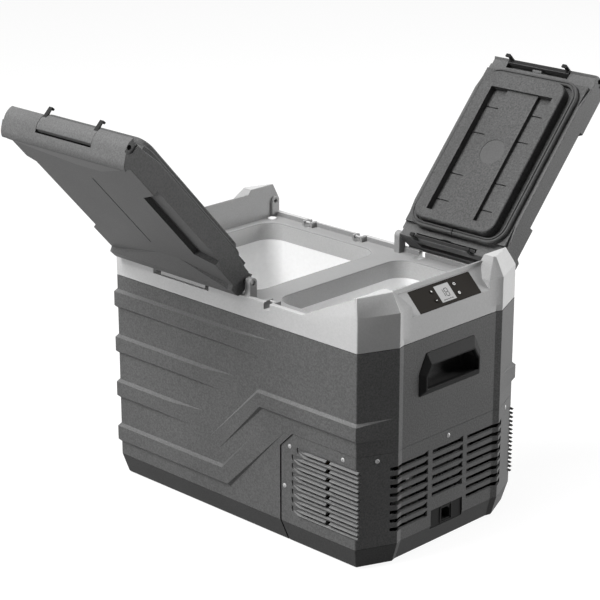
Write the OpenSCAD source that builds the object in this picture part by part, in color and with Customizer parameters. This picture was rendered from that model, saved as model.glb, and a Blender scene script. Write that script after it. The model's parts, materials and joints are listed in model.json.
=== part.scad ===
// Two-zone compressor cooler fridge with two top lids that open to opposite sides.
// Origin: centre of the footprint on the floor. +X is the control end, -Y the front, +Z up. Millimetres.
// The lids are drawn open, each on the hinge pins of its own long edge.

/* [Case] */
// Length of the case over its end ridges
case_l = 590; // [560:1:720]
// Depth of the case from front face to back face
case_w = 366; // [350:1:450]
// Height of the seam between the case and the upper rim
seam_z = 352; // [320:1:440]
// Wall of the moulded case
case_wall = 3; // [2.4:0.1:4]
// Corner chamfer, measured along the front face
corner_x = 27.5; // [20:0.5:32]
// Corner chamfer, measured along the end face
corner_y = 64; // [50:1:72]
// Depth of the flat step in each end face
end_step = 3.5; // [2:0.5:5]
// Width of the slope into that step
end_slope = 12; // [8:1:16]
// Height of the tapered base pan
base_h = 36; // [30:1:46]
// Inward taper of the base pan at the floor
base_in = 9; // [4:1:14]
// Height of the rubber feet under the base pan
foot_gap = 2; // [1:0.5:4]
// Radius of a rubber foot
foot_r = 14; // [10:1:18]

/* [Ribs on the long faces] */
// Height of a raised rib
rib_h = 33; // [26:1:38]
// How far a rib stands out
rib_d = 4.5; // [3:0.5:6]
// Distance from the seam down to the first rib
rib_drop = 24; // [18:1:30]
// Length of the top rib along its upper edge
rib_l = 358; // [300:1:380]
// How much shorter each rib is than the one above it
rib_less = 77; // [60:1:90]
// Slant of a rib's right end
rib_slant = 30; // [0:1:40]

/* [Handle cups] */
// Width of a handle cup
handle_w = 142; // [120:1:170]
// Height of a handle cup
handle_h = 67; // [56:1:76]
// Depth of a handle cup
handle_d = 34; // [28:1:40]
// Distance from the seam down to a handle cup
handle_drop = 25; // [20:1:34]
// How far the collar of a handle cup stands out of the end face
handle_out = 7.5; // [4:0.5:10]
// Height of the collar's upper slope
hood_h = 17; // [10:1:20]
// Width of the collar's other slopes
hood_w = 8.5; // [6:0.5:12]
// Wall round the mouth of a handle cup
mouth_wall = 3; // [2:0.5:4]

/* [Vent panel] */
// Length of the vent panel along the front face
vent_l = 184; // [170:1:195]
// Top edge of the vent panel
vent_top = 187; // [180:1:195]
// Number of louvre rows
louvre_n = 8; // [5:1:8]
// Distance from louvre row to louvre row
louvre_pitch = 14.3; // [12:0.1:15]
// Height of a louvre slot
louvre_h = 7; // [5:0.5:9]
// Gap round the vent panel
vent_gap = 0.6; // [0.3:0.1:1]
// Radius of a vent screw
screw_r = 2; // [1.5:0.25:2.5]
// Radius of a vent screw's head
screw_head_r = 3.6; // [3:0.1:4.5]

/* [Supply inlet] */
// Width of the inlet plate
inlet_w = 74; // [60:1:80]
// Height of the inlet plate
inlet_h = 31; // [28:1:34]
// Height of the inlet's middle above the ground
inlet_z = 46; // [42:1:50]
// Side of the square socket
socket_w = 24; // [20:1:26]
// Depth of the socket's housing
socket_d = 26; // [20:1:30]

/* [Upper rim] */
// Height of the low front and back walls of the rim
rim_h = 34; // [28:1:42]
// Thickness of those walls
rim_wall = 9; // [8:0.5:11]
// Height of the corner towers above the seam
tower_h = 84; // [80:1:100]
// Height above the seam where a tower starts to lean in
hip_z = 55; // [50:1:62]
// How far the towers lean in at the top
hip_in = 15; // [10:1:18]
// Part of an end block's length that the control panel leaves free
block_margin = 9.4; // [7:0.1:14]
// How much lower the middle of an end block is than its towers
saddle_drop = 8; // [4:1:12]
// Depth of the sealing deck below the rim's top
deck_drop = 8; // [6:0.5:10]
// Thickness of the sealing deck
deck_t = 8; // [6:0.5:10]
// Length of the cheek that rises to the front right tower
cheek_l = 103; // [80:1:110]

/* [Compartments] */
// Centre of the divider between the two compartments
divider_x = 34; // [20:1:40]
// Width of the divider's top
divider_w = 48; // [44:1:56]
// Ledge between an end block and the compartment beside it
end_ledge = 15; // [12:1:20]
// Ledge between the case's face and a compartment
side_ledge = 37; // [34:1:44]
// Corner radius of the compartments
opening_r = 32; // [20:1:40]
// Height of the grey throat above the white tubs
throat_h = 30; // [24:1:36]
// Thickness of the throat and of the tub walls
tub_wall = 3; // [2:0.5:4]
// Thickness of an evaporator plate
evap_t = 1.6; // [1:0.1:2]
// Height of the left tub's floor above the ground
left_floor = 62; // [55:1:80]
// Height of the right tub's floor above the ground
right_floor = 214; // [210:1:230]

/* [Lids] */
// Angle that both lids are open
open_angle = 132; // [90:1:135]
// Gap between a lid and what is beside it
lid_gap = 1.5; // [1:0.1:2.5]
// Thickness of a lid's cover
lid_wall = 4; // [3:0.5:5]
// Distance from the case's face in to the hinge axes
axis_in = 12; // [11:0.5:13]
// Height of the hinge axes above the low walls of the rim
axis_up = 20; // [18:0.5:22]
// Radius of a hinge pin
pin_r = 4; // [3:0.25:5]
// How far a hinge pin sits in the lid
pin_in = 12; // [8:1:14]
// How far a hinge pin reaches into the rim
pin_out = 9; // [6:1:9]
// Width of a divider tab
tab_w = 11.6; // [10:0.1:11.8]
// How far the sealing plug reaches below the lid
plug_h = 18; // [12:1:22]
// Gap between the plug and the throat
plug_gap = 5; // [4:0.5:7]
// Width of the lid gasket
gasket_w = 11; // [8:0.5:12]
// Depth of the tray in the plug
tray_d = 12; // [6:0.5:13]
// Border between the plug's edge and the tray
tray_in = 25; // [18:1:30]
// Width of the recessed strip along a lid's inner side
strip_w = 36; // [28:1:44]
// Depth of the recessed strips
strip_d = 3; // [2:0.5:4]

/* [Latches] */
// How far the left lid's latches are from the lid's middle
left_latch_off = 1.9; // [-6:0.1:6]
// How far the right lid's latches are from the lid's middle
right_latch_off = -10.9; // [-14:0.1:0]
// Width of a latch paddle
paddle_w = 126; // [100:1:130]
// Width of a hook
hook_w = 8; // [6:0.5:10]
// Radius of a latch pin
latch_pin_r = 2; // [1.5:0.25:2.5]
// Radius of a keeper bar
keeper_r = 2; // [1.5:0.25:2]

/* [Control panel] */
// Width of the control panel
panel_w = 140; // [110:1:150]
// Height of the control panel along its slope
panel_h = 39; // [34:1:40]
// Thickness of the control panel
panel_t = 4; // [3:0.5:5]
// Width of the display
display_w = 33; // [24:1:36]
// Height of the display
display_h = 29; // [20:1:30]
// Radius of a button
button_r = 3.3; // [2.5:0.1:4]
// Travel of a button
button_travel = 0.8; // [0.5:0.1:1]

/* [Cooling unit] */
// Radius of the compressor shell
compressor_r = 50; // [42:1:54]
// Height of the compressor shell
compressor_h = 118; // [100:1:124]
// Radius of the fan rotor
fan_r = 43; // [36:1:44]
// Number of fan blades
blade_n = 7; // [5:1:9]
// Number of condenser fins
fin_n = 16; // [10:1:20]
// Radius of the refrigerant pipes
pipe_r = 3; // [2:0.5:4]

/* [Fits] */
// Radial clearance of a pin that turns
run_clear = 0.05; // [0.02:0.01:0.08]
// Clearance between pieces that are only placed together
place_clear = 0.3; // [0.2:0.05:0.5]

/* [Hidden] */
$fn = 48;
eps = 0.01;
over = 1;

// Half sizes and main levels
half_l = case_l / 2;
half_w = case_w / 2;
end_x = half_l - end_step;
rim_top = seam_z + rim_h;
deck_z = rim_top - deck_drop;
tower_top = seam_z + tower_h;
saddle_top = tower_top - saddle_drop;
block_x = half_l - panel_h / sqrt(2) - block_margin;
saddle_y = half_w - corner_y - end_slope;
rib_pitch = (seam_z - base_h) / 4;
axis_e = half_w - axis_in;
axis_z = rim_top + axis_up;

// Compartment openings: [low x, high x]
opening_y = half_w - side_ledge;
left_open = [-block_x + end_ledge, divider_x - divider_w / 2];
right_open = [divider_x + divider_w / 2, block_x - end_ledge];
throat_bottom = deck_z - throat_h;
evap_margin = 40;
foam_gap = 2;

// Lids: [low x, high x]
left_lid_x = [-block_x + lid_gap, divider_x - tab_w / 2 - lid_gap];
right_lid_x = [divider_x + tab_w / 2 + lid_gap, block_x - lid_gap];
lid_low = rim_top + 1;
lid_top = tower_top;
lid_e = half_w - 7;
rail_e = lid_e - 27;
roof_z = lid_top - 2;
belly_z = lid_low + (lid_top - lid_low) / 4;
shoulder_z = lid_low + (lid_top - lid_low) * 3 / 7;
brow_z = lid_low + (lid_top - lid_low) * 3 / 5;
liner_t = 3;
plug_z = lid_low - plug_h;
boss_r = 8;
boss_t = 3;
left_latch_x = (left_lid_x[0] + left_lid_x[1]) / 2 + left_latch_off;
right_latch_x = (right_lid_x[0] + right_lid_x[1]) / 2 + right_latch_off;

// Latch geometry, measured outward from the middle (e) and up (z)
paddle_e = lid_e - 10;
paddle_z = axis_z + 6;
paddle_low = lid_low + 4;
paddle_top = paddle_z + 4.5;
pocket_e = paddle_e - 7;
pocket_top = paddle_top + 5;
barrel_r = latch_pin_r + 3;
latch_pin_l = paddle_w + 16;
hook_x = paddle_w / 2 - 5;
hook_ro = axis_z - deck_z + 1;
hook_ri = hook_ro - 3.5;
keeper_e = axis_e - 3;
keeper_z = axis_z - hook_ri + keeper_r + 2;
slot_w = hook_w + 5;
slot_z = axis_z - hook_ro - 2;
slot_in = axis_e - 11;
recess_d = rim_wall - 4;
keeper_hold = 3;
keeper_wall = 5;
cheek_tip = 1.8;
cheek_skin = 1.6;
cup_lip = case_wall + 5;
handle_top = seam_z - handle_drop;
cup_cut_z = 30;
cup_cut_y = 15;
mouth_cut_z = 18;
mouth_cut_y = 12;

// Control panel on its 45 degree slope
slope_x = end_x - panel_h / sqrt(8);
slope_z = saddle_top - 22;
switch_x = 8;
switch_y = display_w / 2 + 9.5;
panel_proud = 0.6;
board_z = -10;
board_t = 1.6;
tact_w = 6;
tact_h = 4;
button_out = 1.6;

// Vent panel and supply inlet
vent_x = half_l - vent_l;
vent_cut = 26;
louvre_low = vent_top - 17 - louvre_n * louvre_pitch;
louvre_rib_x = half_l - 85;
louvre_tip = 10;
inlet_sunk = 2;
inlet_t = 10;
inlet_x = end_x - inlet_sunk;
// Screws on the front and back faces as [distance from the panel's left edge, distance from its top]
face_screws = [[18, 21], [130, 10], [7, 90]];

// Compressor bay under the right tub
bay_x = vent_x + 8;
bay_top = right_floor - tub_wall - 12;
bay_floor = foot_gap + case_wall;
tray_t = 6;
tray_z = bay_floor + tray_t;
grommet_r = 8;
grommet_h = 10;
grommet_bore = 3;
comp_x = bay_x + compressor_r + 8;
comp_y = -half_w / 3 - 8;
comp_base = tray_z + grommet_h;
comp_plate = 3;
comp_top = comp_base + comp_plate + compressor_h;
fan_x = end_x - case_wall - 30;
fan_y = comp_y + compressor_r + 61;
fan_z = base_h + 68;
fan_t = 24;
fan_half = fan_r + 7;
hub_r = 17;
blade_t = 1.6;
spindle_r = 3;
cond_t = 24;
cond_x = fan_x - fan_t - 6 - cond_t;
cond_half = fan_half + 8;

function unit(v) = v / norm(v);

// Outline of the case from above, anticlockwise
function plan() = [
    [half_l - corner_x, -half_w], [half_l, -half_w + corner_y],
    [end_x, -half_w + corner_y + end_slope], [end_x, half_w - corner_y - end_slope],
    [half_l, half_w - corner_y], [half_l - corner_x, half_w],
    [-half_l + corner_x, half_w], [-half_l, half_w - corner_y],
    [-end_x, half_w - corner_y - end_slope], [-end_x, -half_w + corner_y + end_slope],
    [-half_l, -half_w + corner_y], [-half_l + corner_x, -half_w]
];

// The same outline moved inward by d on every side
function inset(p, d) = [
    for (i = [0 : len(p) - 1])
        let (
            u = unit(p[i] - p[(i + len(p) - 1) % len(p)]),
            v = unit(p[(i + 1) % len(p)] - p[i]),
            n1 = [-u[1], u[0]],
            n2 = [-v[1], v[0]]
        )
        p[i] + d * (n1 + n2) / (1 + n1 * n2)
];

// Points on an arc in one plane
function arc(c, r, a0, a1, n) = [
    for (i = [0 : n])
        let (a = a0 + (a1 - a0) * i / n)
        c + r * [cos(a), sin(a)]
];

module slab(points, z0, z1) {
    translate([0, 0, z0])
        linear_extrude(z1 - z0) polygon(points);
}

module box(x0, x1, y0, y1, z0, z1) {
    translate([x0, y0, z0])
        cube([x1 - x0, y1 - y0, z1 - z0]);
}

// Rounded rectangle in plan, as an upright solid
module pad(x0, x1, hy, r, z0, z1) {
    translate([0, 0, z0]) linear_extrude(z1 - z0) {
        translate([x0 + r, -hy]) square([x1 - x0 - 2 * r, 2 * hy]);
        translate([x0, -hy + r]) square([x1 - x0, 2 * hy - 2 * r]);
        for (x = [x0 + r, x1 - r], y = [-hy + r, hy - r])
            translate([x, y]) circle(r);
    }
}

module ring_pad(x, hy, r, wall, z0, z1) {
    difference() {
        pad(x[0] - wall, x[1] + wall, hy + wall, r + wall, z0, z1);
        pad(x[0], x[1], hy, r, z0 - over, z1 + over);
    }
}

// An outline drawn as [x, z] on the front face, standing out of it by d
module on_front(points, depth, d) {
    translate([0, -half_w + depth, 0]) rotate([90, 0, 0])
        linear_extrude(depth + d) polygon(points);
}

// A section drawn as [y, z], run along X
module along_x(points, x0, x1) {
    translate([x0, 0, 0]) rotate([90, 0, 90])
        linear_extrude(x1 - x0) polygon(points);
}

module rod_x(y, z, r, x0, x1) {
    translate([x0, y, z]) rotate([0, 90, 0])
        cylinder(r = r, h = x1 - x0);
}

module both_sides() {
    children();
    mirror([0, 1, 0]) children();
}

module both_ends() {
    children();
    mirror([1, 0, 0]) children();
}

// Case and base

function rib_z(i) = seam_z - rib_drop - i * rib_pitch;

// Three long ribs, a low one that turns up to the vent panel, and one that runs down from the right corner
module ribs() {
    x0 = -half_l + corner_x;
    x1 = half_l - corner_x;
    for (i = [0 : 2]) {
        z = rib_z(i);
        end = x0 + rib_l - i * rib_less;
        on_front([[x0, z], [x0, z - rib_h], [end - rib_slant, z - rib_h], [end, z]], case_wall, rib_d);
    }
    low = rib_z(3);
    turn = vent_x - rib_h * 4;
    rise = rib_pitch - 12;
    on_front([[x0, low], [x0, low - rib_h], [turn + rib_h / 2, low - rib_h], [vent_x + 8, vent_top],
        [turn + rise, low + rise], [turn, low]], case_wall, rib_d);
    high = rib_z(1) - 7;
    fall = high - low - rib_h;
    bend = vent_x - 50;
    on_front([[x1, high], [bend, high], [bend - fall, high - fall], [bend - fall + 28, high - fall - 8],
        [bend + 8, high - rib_h + 2], [x1, high - rib_h + 2]], case_wall, rib_d);
}

// Outline of a handle cup as [z, y]: its upper corners are cut off
function handle_points(low, top, w, cut_z, cut_y) = [
    [low, -w], [top - cut_z, -w], [top, -w + cut_y],
    [top, w - cut_y], [top - cut_z, w], [low, w]
];

// An outline drawn as [z, y], between two places along X
module across_end(points, x0, x1) {
    translate([x1, 0, 0]) rotate([0, -90, 0]) linear_extrude(x1 - x0) polygon(points);
}

function cup_points(grow) = handle_points(handle_top - handle_h - grow, handle_top + grow,
    handle_w / 2 + grow, cup_cut_z, cup_cut_y);

function mouth_points(grow) = handle_points(handle_top - handle_h + hood_w + grow, handle_top - hood_h - grow,
    handle_w / 2 - hood_w - grow, mouth_cut_z, mouth_cut_y);

module handle_outline(grow) {
    across_end(cup_points(grow), end_x - handle_d, end_x + over);
}

// Region of the case that the vent panel takes up
module vent_region(gap) {
    on_front([[vent_x - gap, base_h - over], [half_l + over, base_h - over], [half_l + over, vent_top + gap],
        [vent_x + vent_cut, vent_top + gap], [vent_x - gap, vent_top - vent_cut]],
        case_w + over, rib_d + over);
}

module case_shell() {
    color("dimgray") difference() {
        union() {
            slab(plan(), base_h, seam_z);
            both_sides() ribs();
        }
        slab(inset(plan(), case_wall), base_h - over, seam_z + over);
        both_ends() handle_outline(place_clear);
        vent_region(vent_gap);
    }
}

module base_pan() {
    color("darkslategray") difference() {
        hull() {
            slab(inset(plan(), base_in), foot_gap, foot_gap + eps);
            slab(plan(), base_h - eps, base_h);
        }
        slab(inset(plan(), base_in + case_wall), bay_floor, base_h + over);
        feet_places() cylinder(r = foot_r + place_clear, h = foot_gap + case_wall / 2);
        inlet_cut();
    }
}

module feet_places() {
    for (x = [-1, 1], y = [-1, 1])
        translate([x * (half_l - 70), y * (half_w - 60), 0]) children();
}

module rubber_feet() {
    color("black") feet_places() cylinder(r = foot_r, h = foot_gap + case_wall / 2);
}

// Handle cups

// A pocket behind a collar that slopes out to a smaller mouth
module handle_cup() {
    difference() {
        union() {
            across_end(cup_points(0), end_x - handle_d, end_x);
            hull() {
                across_end(cup_points(0), end_x - eps, end_x);
                across_end(mouth_points(0), end_x + handle_out - eps, end_x + handle_out);
            }
        }
        across_end(cup_points(-cup_lip), end_x - handle_d + case_wall, end_x);
        across_end(mouth_points(mouth_wall), end_x - over, end_x + handle_out + over);
    }
}

module right_handle_cup() {
    color("black") handle_cup();
}

module left_handle_cup() {
    color("black") mirror([1, 0, 0]) handle_cup();
}

// Upper rim

module tower() {
    hull() {
        intersection() {
            slab(plan(), seam_z, seam_z + hip_z);
            box(block_x, half_l, -half_w, -saddle_y, seam_z, seam_z + hip_z);
        }
        intersection() {
            slab(inset(plan(), hip_in), tower_top - eps, tower_top);
            box(block_x, half_l, -half_w, -saddle_y, tower_top - eps, tower_top);
        }
    }
}

// Middle of an end block, with its slope
module saddle() {
    foot = slope_z - (end_x - slope_x);
    crest = block_x + 4;
    slope_top = slope_z + slope_x - crest;
    rotate([90, 0, 0]) translate([0, 0, -saddle_y - eps]) linear_extrude(2 * (saddle_y + eps))
        polygon([[block_x, seam_z], [end_x, seam_z], [end_x, foot], [crest, slope_top],
            [crest - 1, saddle_top], [block_x, saddle_top]]);
}

// Cheek that rises along the front wall to the right tower
module cheek() {
    inner = lid_e + lid_gap + place_clear;
    section = [[-half_w, deck_z], [-half_w, seam_z + hip_z], [-inner - cheek_tip, tower_top],
        [-inner, tower_top], [-inner, deck_z]];
    intersection() {
        along_x(section, block_x - cheek_l, block_x + eps);
        rotate([90, 0, 0]) linear_extrude(case_w)
            polygon([[block_x - cheek_l, seam_z], [block_x + 1, seam_z], [block_x + 1, tower_top],
                [block_x, tower_top], [block_x - cheek_l, rim_top]]);
    }
}

// Finger recess of a latch in the front wall, between two places along it
module finger_recess(x0, x1) {
    box(x0, x1, -half_w - over, -half_w + recess_d, slot_z, rim_top + over);
}

// Slot in the front wall for one hook, as far out as given
module hook_slot(x, out) {
    box(x - slot_w / 2, x + slot_w / 2, -out, -slot_in, slot_z, rim_top + over);
}

// Slots and recess of a latch that nothing covers
module latch_seat(x) {
    finger_recess(x - hook_x, x + hook_x);
    for (s = [-1, 1])
        hook_slot(x + s * hook_x, half_w + over);
}

// Slots and recess of the right lid's front latch, beside and behind the cheek
module cheek_latch_seat() {
    finger_recess(right_latch_x - hook_x, block_x - cheek_l);
    hook_slot(right_latch_x - hook_x, half_w + over);
    hook_slot(right_latch_x + hook_x, half_w - cheek_skin);
}

module keeper_blocks() {
    reach = slot_w / 2 + keeper_wall;
    for (s = [-1, 1])
        box(s * hook_x - reach, s * hook_x + reach, -half_w + rim_wall - eps, -keeper_e + keeper_wall,
            deck_z - eps, lid_low);
}

module keeper_bars() {
    reach = slot_w / 2 + keeper_hold;
    for (s = [-1, 1])
        rod_x(-keeper_e, keeper_z, keeper_r, s * hook_x - reach, s * hook_x + reach);
}

// Keepers stand only where a lid opens: behind for the left lid, in front for the right one
module at_free_edges() {
    mirror([0, 1, 0]) translate([left_latch_x, 0, 0]) children();
    translate([right_latch_x, 0, 0]) children();
}

module latch_keepers() {
    color("silver") at_free_edges() keeper_bars();
}

module divider_tab() {
    rod_x(-axis_e, axis_z, boss_r, divider_x - tab_w / 2, divider_x + tab_w / 2);
    box(divider_x - tab_w / 2, divider_x + tab_w / 2, -axis_e - boss_r, -axis_e + boss_r,
        deck_z - eps, axis_z);
}

module upper_rim() {
    color("silver") difference() {
        union() {
            difference() {
                slab(plan(), seam_z, rim_top);
                slab(inset(plan(), rim_wall), seam_z - over, rim_top + over);
            }
            slab(inset(plan(), rim_wall - eps), deck_z - deck_t, deck_z);
            both_ends() {
                both_sides() tower();
                saddle();
            }
            cheek();
            both_sides() divider_tab();
            at_free_edges() keeper_blocks();
        }
        for (x = [left_open, right_open])
            pad(x[0] - tub_wall, x[1] + tub_wall, opening_y + tub_wall, opening_r + tub_wall,
                seam_z, deck_z + over);
        at_free_edges() keeper_bars();
        cheek_latch_seat();
        mirror([0, 1, 0]) latch_seat(right_latch_x);
        both_sides() {
            latch_seat(left_latch_x);
            rod_x(-axis_e, axis_z, pin_r + run_clear, -block_x - pin_out - over, -block_x + over);
            rod_x(-axis_e, axis_z, pin_r + run_clear, divider_x - tab_w, divider_x + tab_w);
            rod_x(-axis_e, axis_z, pin_r + run_clear, block_x - over, block_x + pin_out + over);
        }
        on_slope() panel_cavity();
    }
}

// Tubs, throats, foam and evaporators

module left_throat() {
    color("gray") ring_pad(left_open, opening_y, opening_r, tub_wall, throat_bottom, deck_z);
}

module right_throat() {
    color("gray") ring_pad(right_open, opening_y, opening_r, tub_wall, throat_bottom, deck_z);
}

module tub(x, floor_z) {
    difference() {
        pad(x[0] - tub_wall, x[1] + tub_wall, opening_y + tub_wall, opening_r + tub_wall, floor_z - tub_wall,
            throat_bottom);
        pad(x[0], x[1], opening_y, opening_r, floor_z, throat_bottom + over);
    }
}

module left_tub() {
    color("white") tub(left_open, left_floor);
}

module right_tub() {
    color("white") tub(right_open, right_floor);
}

// Plate bent round a tub, as far below the throat as above the floor
module evaporator(x, floor_z, margin) {
    ring_pad([x[0] - tub_wall, x[1] + tub_wall], opening_y + tub_wall, opening_r + tub_wall, evap_t,
        floor_z + margin, throat_bottom - margin);
}

module left_evaporator() {
    color("silver") evaporator(left_open, left_floor, evap_margin);
}

module right_evaporator() {
    color("silver") evaporator(right_open, right_floor, evap_margin / 2);
}

module foam_insulation() {
    gap = tub_wall + evap_t + place_clear;
    color("khaki") difference() {
        slab(inset(plan(), case_wall + place_clear), base_h, deck_z - deck_t - place_clear);
        rim_room();
        for (o = [[left_open, left_floor], [right_open, right_floor]])
            pad(o[0][0] - gap, o[0][1] + gap, opening_y + gap, opening_r + gap, o[1] - tub_wall, rim_top);
        box(vent_x - 2 * foam_gap, half_l, -half_w, half_w, 0, bay_top);
        both_ends() translate([-foam_gap, 0, 0]) handle_outline(foam_gap);
    }
}

// Room in the foam for the rim's walls and end blocks
module rim_room() {
    difference() {
        slab(inset(plan(), -over), seam_z - place_clear, rim_top);
        slab(inset(plan(), rim_wall + place_clear), seam_z - over, rim_top + over);
    }
    both_ends() box(block_x - place_clear, half_l, -half_w, half_w, seam_z - place_clear, rim_top);
}

// Vent panel

// Rows of slots on the front face, in two fields beside an upright rib
module louvre_cuts() {
    deep = 30;
    half_rib = 4;
    x1 = half_l - corner_x - 6;
    for (i = [0 : louvre_n - 1]) {
        z = louvre_low + i * louvre_pitch;
        x0 = vent_x + (i == louvre_n - 1 ? vent_cut + 14 : vent_cut + 3);
        rib0 = louvre_rib_x - half_rib;
        rib1 = louvre_rib_x + half_rib;
        on_front([[x0, z + louvre_h / 2], [x0 + louvre_tip, z], [rib0, z], [rib0, z + louvre_h],
            [x0 + louvre_tip, z + louvre_h]], deep, over);
        on_front([[rib1, z], [x1, z], [x1, z + louvre_h], [rib1, z + louvre_h]], deep, over);
    }
}

// Three columns of slots on the end face; the middle one stops above the inlet
module end_louvres() {
    deep = 22;
    middle = 36;
    inner = 46;
    outer = half_w - corner_y + 11;
    for (i = [0 : louvre_n - 1]) {
        z = louvre_low + i * louvre_pitch;
        both_sides() box(half_l - deep, half_l + over, inner, outer, z, z + louvre_h);
        if (i > 1) box(half_l - deep, half_l + over, -middle, middle, z, z + louvre_h);
    }
}

module inlet_cut() {
    box(inlet_x - inlet_t - inlet_sunk, half_l + over, -inlet_w / 2 - place_clear, inlet_w / 2 + place_clear,
        inlet_z - inlet_h / 2 - place_clear, inlet_z + inlet_h / 2 + place_clear);
}

module vent_screw_places() {
    both_sides() {
        for (p = face_screws)
            translate([vent_x + p[0], -half_w, vent_top - p[1]]) rotate([90, 0, 0]) children();
        translate([half_l - corner_x / 2, -half_w + corner_y / 2, vent_top - face_screws[1][1]])
            rotate([0, 0, -atan2(corner_x, corner_y)]) rotate([0, 90, 0]) children();
    }
    translate([end_x, 0, vent_top - face_screws[1][1]]) rotate([0, 90, 0]) children();
}

module vent_panel() {
    color("dimgray") difference() {
        intersection() {
            difference() {
                slab(plan(), base_h, vent_top);
                slab(inset(plan(), case_wall), base_h - over, vent_top + over);
            }
            vent_region(0);
        }
        both_sides() louvre_cuts();
        end_louvres();
        inlet_cut();
        vent_screw_places() cylinder(r = screw_r, h = 4 * case_wall, center = true);
    }
}

module vent_screws() {
    shank = 10;
    head = 1;
    color("lightgray") vent_screw_places() {
        cylinder(r = screw_head_r, h = head);
        translate([0, 0, -shank]) cylinder(r = screw_r, h = shank);
    }
}

module inlet_plate() {
    color("black") difference() {
        box(inlet_x - inlet_t, inlet_x, -inlet_w / 2, inlet_w / 2,
            inlet_z - inlet_h / 2, inlet_z + inlet_h / 2);
        box(inlet_x - inlet_t - over, half_l, -socket_w / 2, socket_w / 2,
            inlet_z - socket_w / 2, inlet_z + socket_w / 2);
    }
}

// Two-pin supply socket in a square housing
module power_inlet() {
    wall = 2;
    pin_gap = 4;
    contact_r = 1.5;
    contact_l = 14;
    back = inlet_x - socket_d;
    front = inlet_x - place_clear;
    outer = socket_w / 2 - place_clear;
    inner = outer - wall;
    color("dimgray") {
        difference() {
            box(back, front, -outer, outer, inlet_z - outer, inlet_z + outer);
            box(back + wall, half_l, -inner, inner, inlet_z - inner, inlet_z + inner);
        }
        for (y = [-pin_gap, pin_gap])
            rod_x(y, inlet_z, contact_r, back + wall - eps, back + wall + contact_l);
    }
}

// Cooling unit

module grommet_places() {
    for (x = [-1, 1], y = [-1, 1])
        translate([comp_x + x * (compressor_r - grommet_r), comp_y + y * (compressor_r - 2), tray_z])
            children();
}

module grommet_holes() {
    grommet_places() cylinder(r = grommet_bore, h = 4 * grommet_h, center = true);
}

module compressor_tray() {
    color("lightslategray") difference() {
        box(bay_x, cond_x - 4, comp_y - compressor_r - 10, half_w - 40, bay_floor, tray_z);
        grommet_holes();
    }
}

module compressor_grommets() {
    color("black") difference() {
        grommet_places() cylinder(r = grommet_r, h = grommet_h);
        grommet_holes();
    }
}

module compressor() {
    plate_y = compressor_r + 6;
    foot = compressor_r - 6;
    dome = 18;
    color("black") {
        difference() {
            box(comp_x - compressor_r, comp_x + compressor_r, comp_y - plate_y, comp_y + plate_y,
                comp_base, comp_base + comp_plate);
            grommet_holes();
        }
        translate([comp_x, comp_y, comp_base + comp_plate - eps]) rotate_extrude()
            polygon(concat([[0, 0], [foot, 0]],
                arc([compressor_r - dome, compressor_h - dome], dome, 0, 90, 8), [[0, compressor_h]]));
    }
}

// Fins on five tubes
module condenser() {
    fin_t = 1;
    tube_r = 3.5;
    tube_pitch = 20;
    pitch = 2 * (cond_half - 5) / fin_n;
    color("silver") {
        for (i = [0 : fin_n - 1])
            box(cond_x, cond_x + cond_t, fan_y + (i - fin_n / 2 + 0.5) * pitch - fin_t / 2,
                fan_y + (i - fin_n / 2 + 0.5) * pitch + fin_t / 2, fan_z - fan_half, fan_z + fan_half);
        for (k = [-2 : 2])
            translate([cond_x + cond_t / 2, fan_y - cond_half, fan_z + k * tube_pitch]) rotate([-90, 0, 0])
                cylinder(r = tube_r, h = 2 * cond_half);
    }
}

// Square frame with three arms that hold the spindle
module fan_shroud() {
    arm_w = 8;
    arm_t = 3;
    arm_x = fan_x - arm_t - 1;
    color("black") {
        difference() {
            box(fan_x - fan_t, fan_x, fan_y - fan_half, fan_y + fan_half, fan_z - fan_half, fan_z + fan_half);
            rod_x(fan_y, fan_z, fan_r + 2, fan_x - fan_t - over, fan_x + over);
        }
        for (a = [45, 165, 285])
            translate([arm_x, fan_y, fan_z]) rotate([a, 0, 0])
                translate([0, 0, -arm_w / 2]) cube([arm_t, fan_r + 4, arm_w]);
        rod_x(fan_y, fan_z, spindle_r, fan_x - fan_t + 4, arm_x + arm_t / 2);
    }
}

module fan_rotor() {
    chord = 24;
    twist = 38;
    x0 = fan_x - fan_t + 2;
    x1 = fan_x - 5;
    color("dimgray") difference() {
        union() {
            rod_x(fan_y, fan_z, hub_r, x0, x1);
            intersection() {
                rod_x(fan_y, fan_z, fan_r, x0, x1);
                for (i = [0 : blade_n - 1])
                    translate([(x0 + x1) / 2, fan_y, fan_z]) rotate([i * 360 / blade_n, 0, 0])
                        translate([0, 0, hub_r - 2]) rotate([0, 0, twist])
                            translate([-chord / 2, -blade_t / 2, 0]) cube([chord, blade_t, fan_r]);
            }
        }
        rod_x(fan_y, fan_z, spindle_r + run_clear, x0 - over, x1 + over);
    }
}

// Driver in a case with cooling fins
module drive_module() {
    len_x = 46;
    len_y = 80;
    tall = 36;
    fin_h = 12;
    fin_t = 4;
    fin_pitch = 11;
    x0 = bay_x + 4;
    y0 = comp_y + compressor_r + 16;
    color("slategray") {
        box(x0, x0 + len_x, y0, y0 + len_y, tray_z, tray_z + tall);
        for (y = [y0 + fin_t : fin_pitch : y0 + len_y - 2 * fin_t])
            box(x0 + fin_t, x0 + len_x - fin_t, y, y + fin_t, tray_z + tall - eps, tray_z + tall + fin_h);
    }
}

// Suction and discharge pipes: straight runs joined by true elbows
module pipe_run(p, q, r) {
    d = q - p;
    translate(p) rotate([0, acos(d[2] / norm(d)), atan2(d[1], d[0])])
        cylinder(r = r, h = norm(d));
}

module pipe(points, r) {
    for (i = [0 : len(points) - 2])
        pipe_run(points[i], points[i + 1], r);
    for (i = [1 : len(points) - 2])
        translate(points[i]) sphere(r);
}

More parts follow.
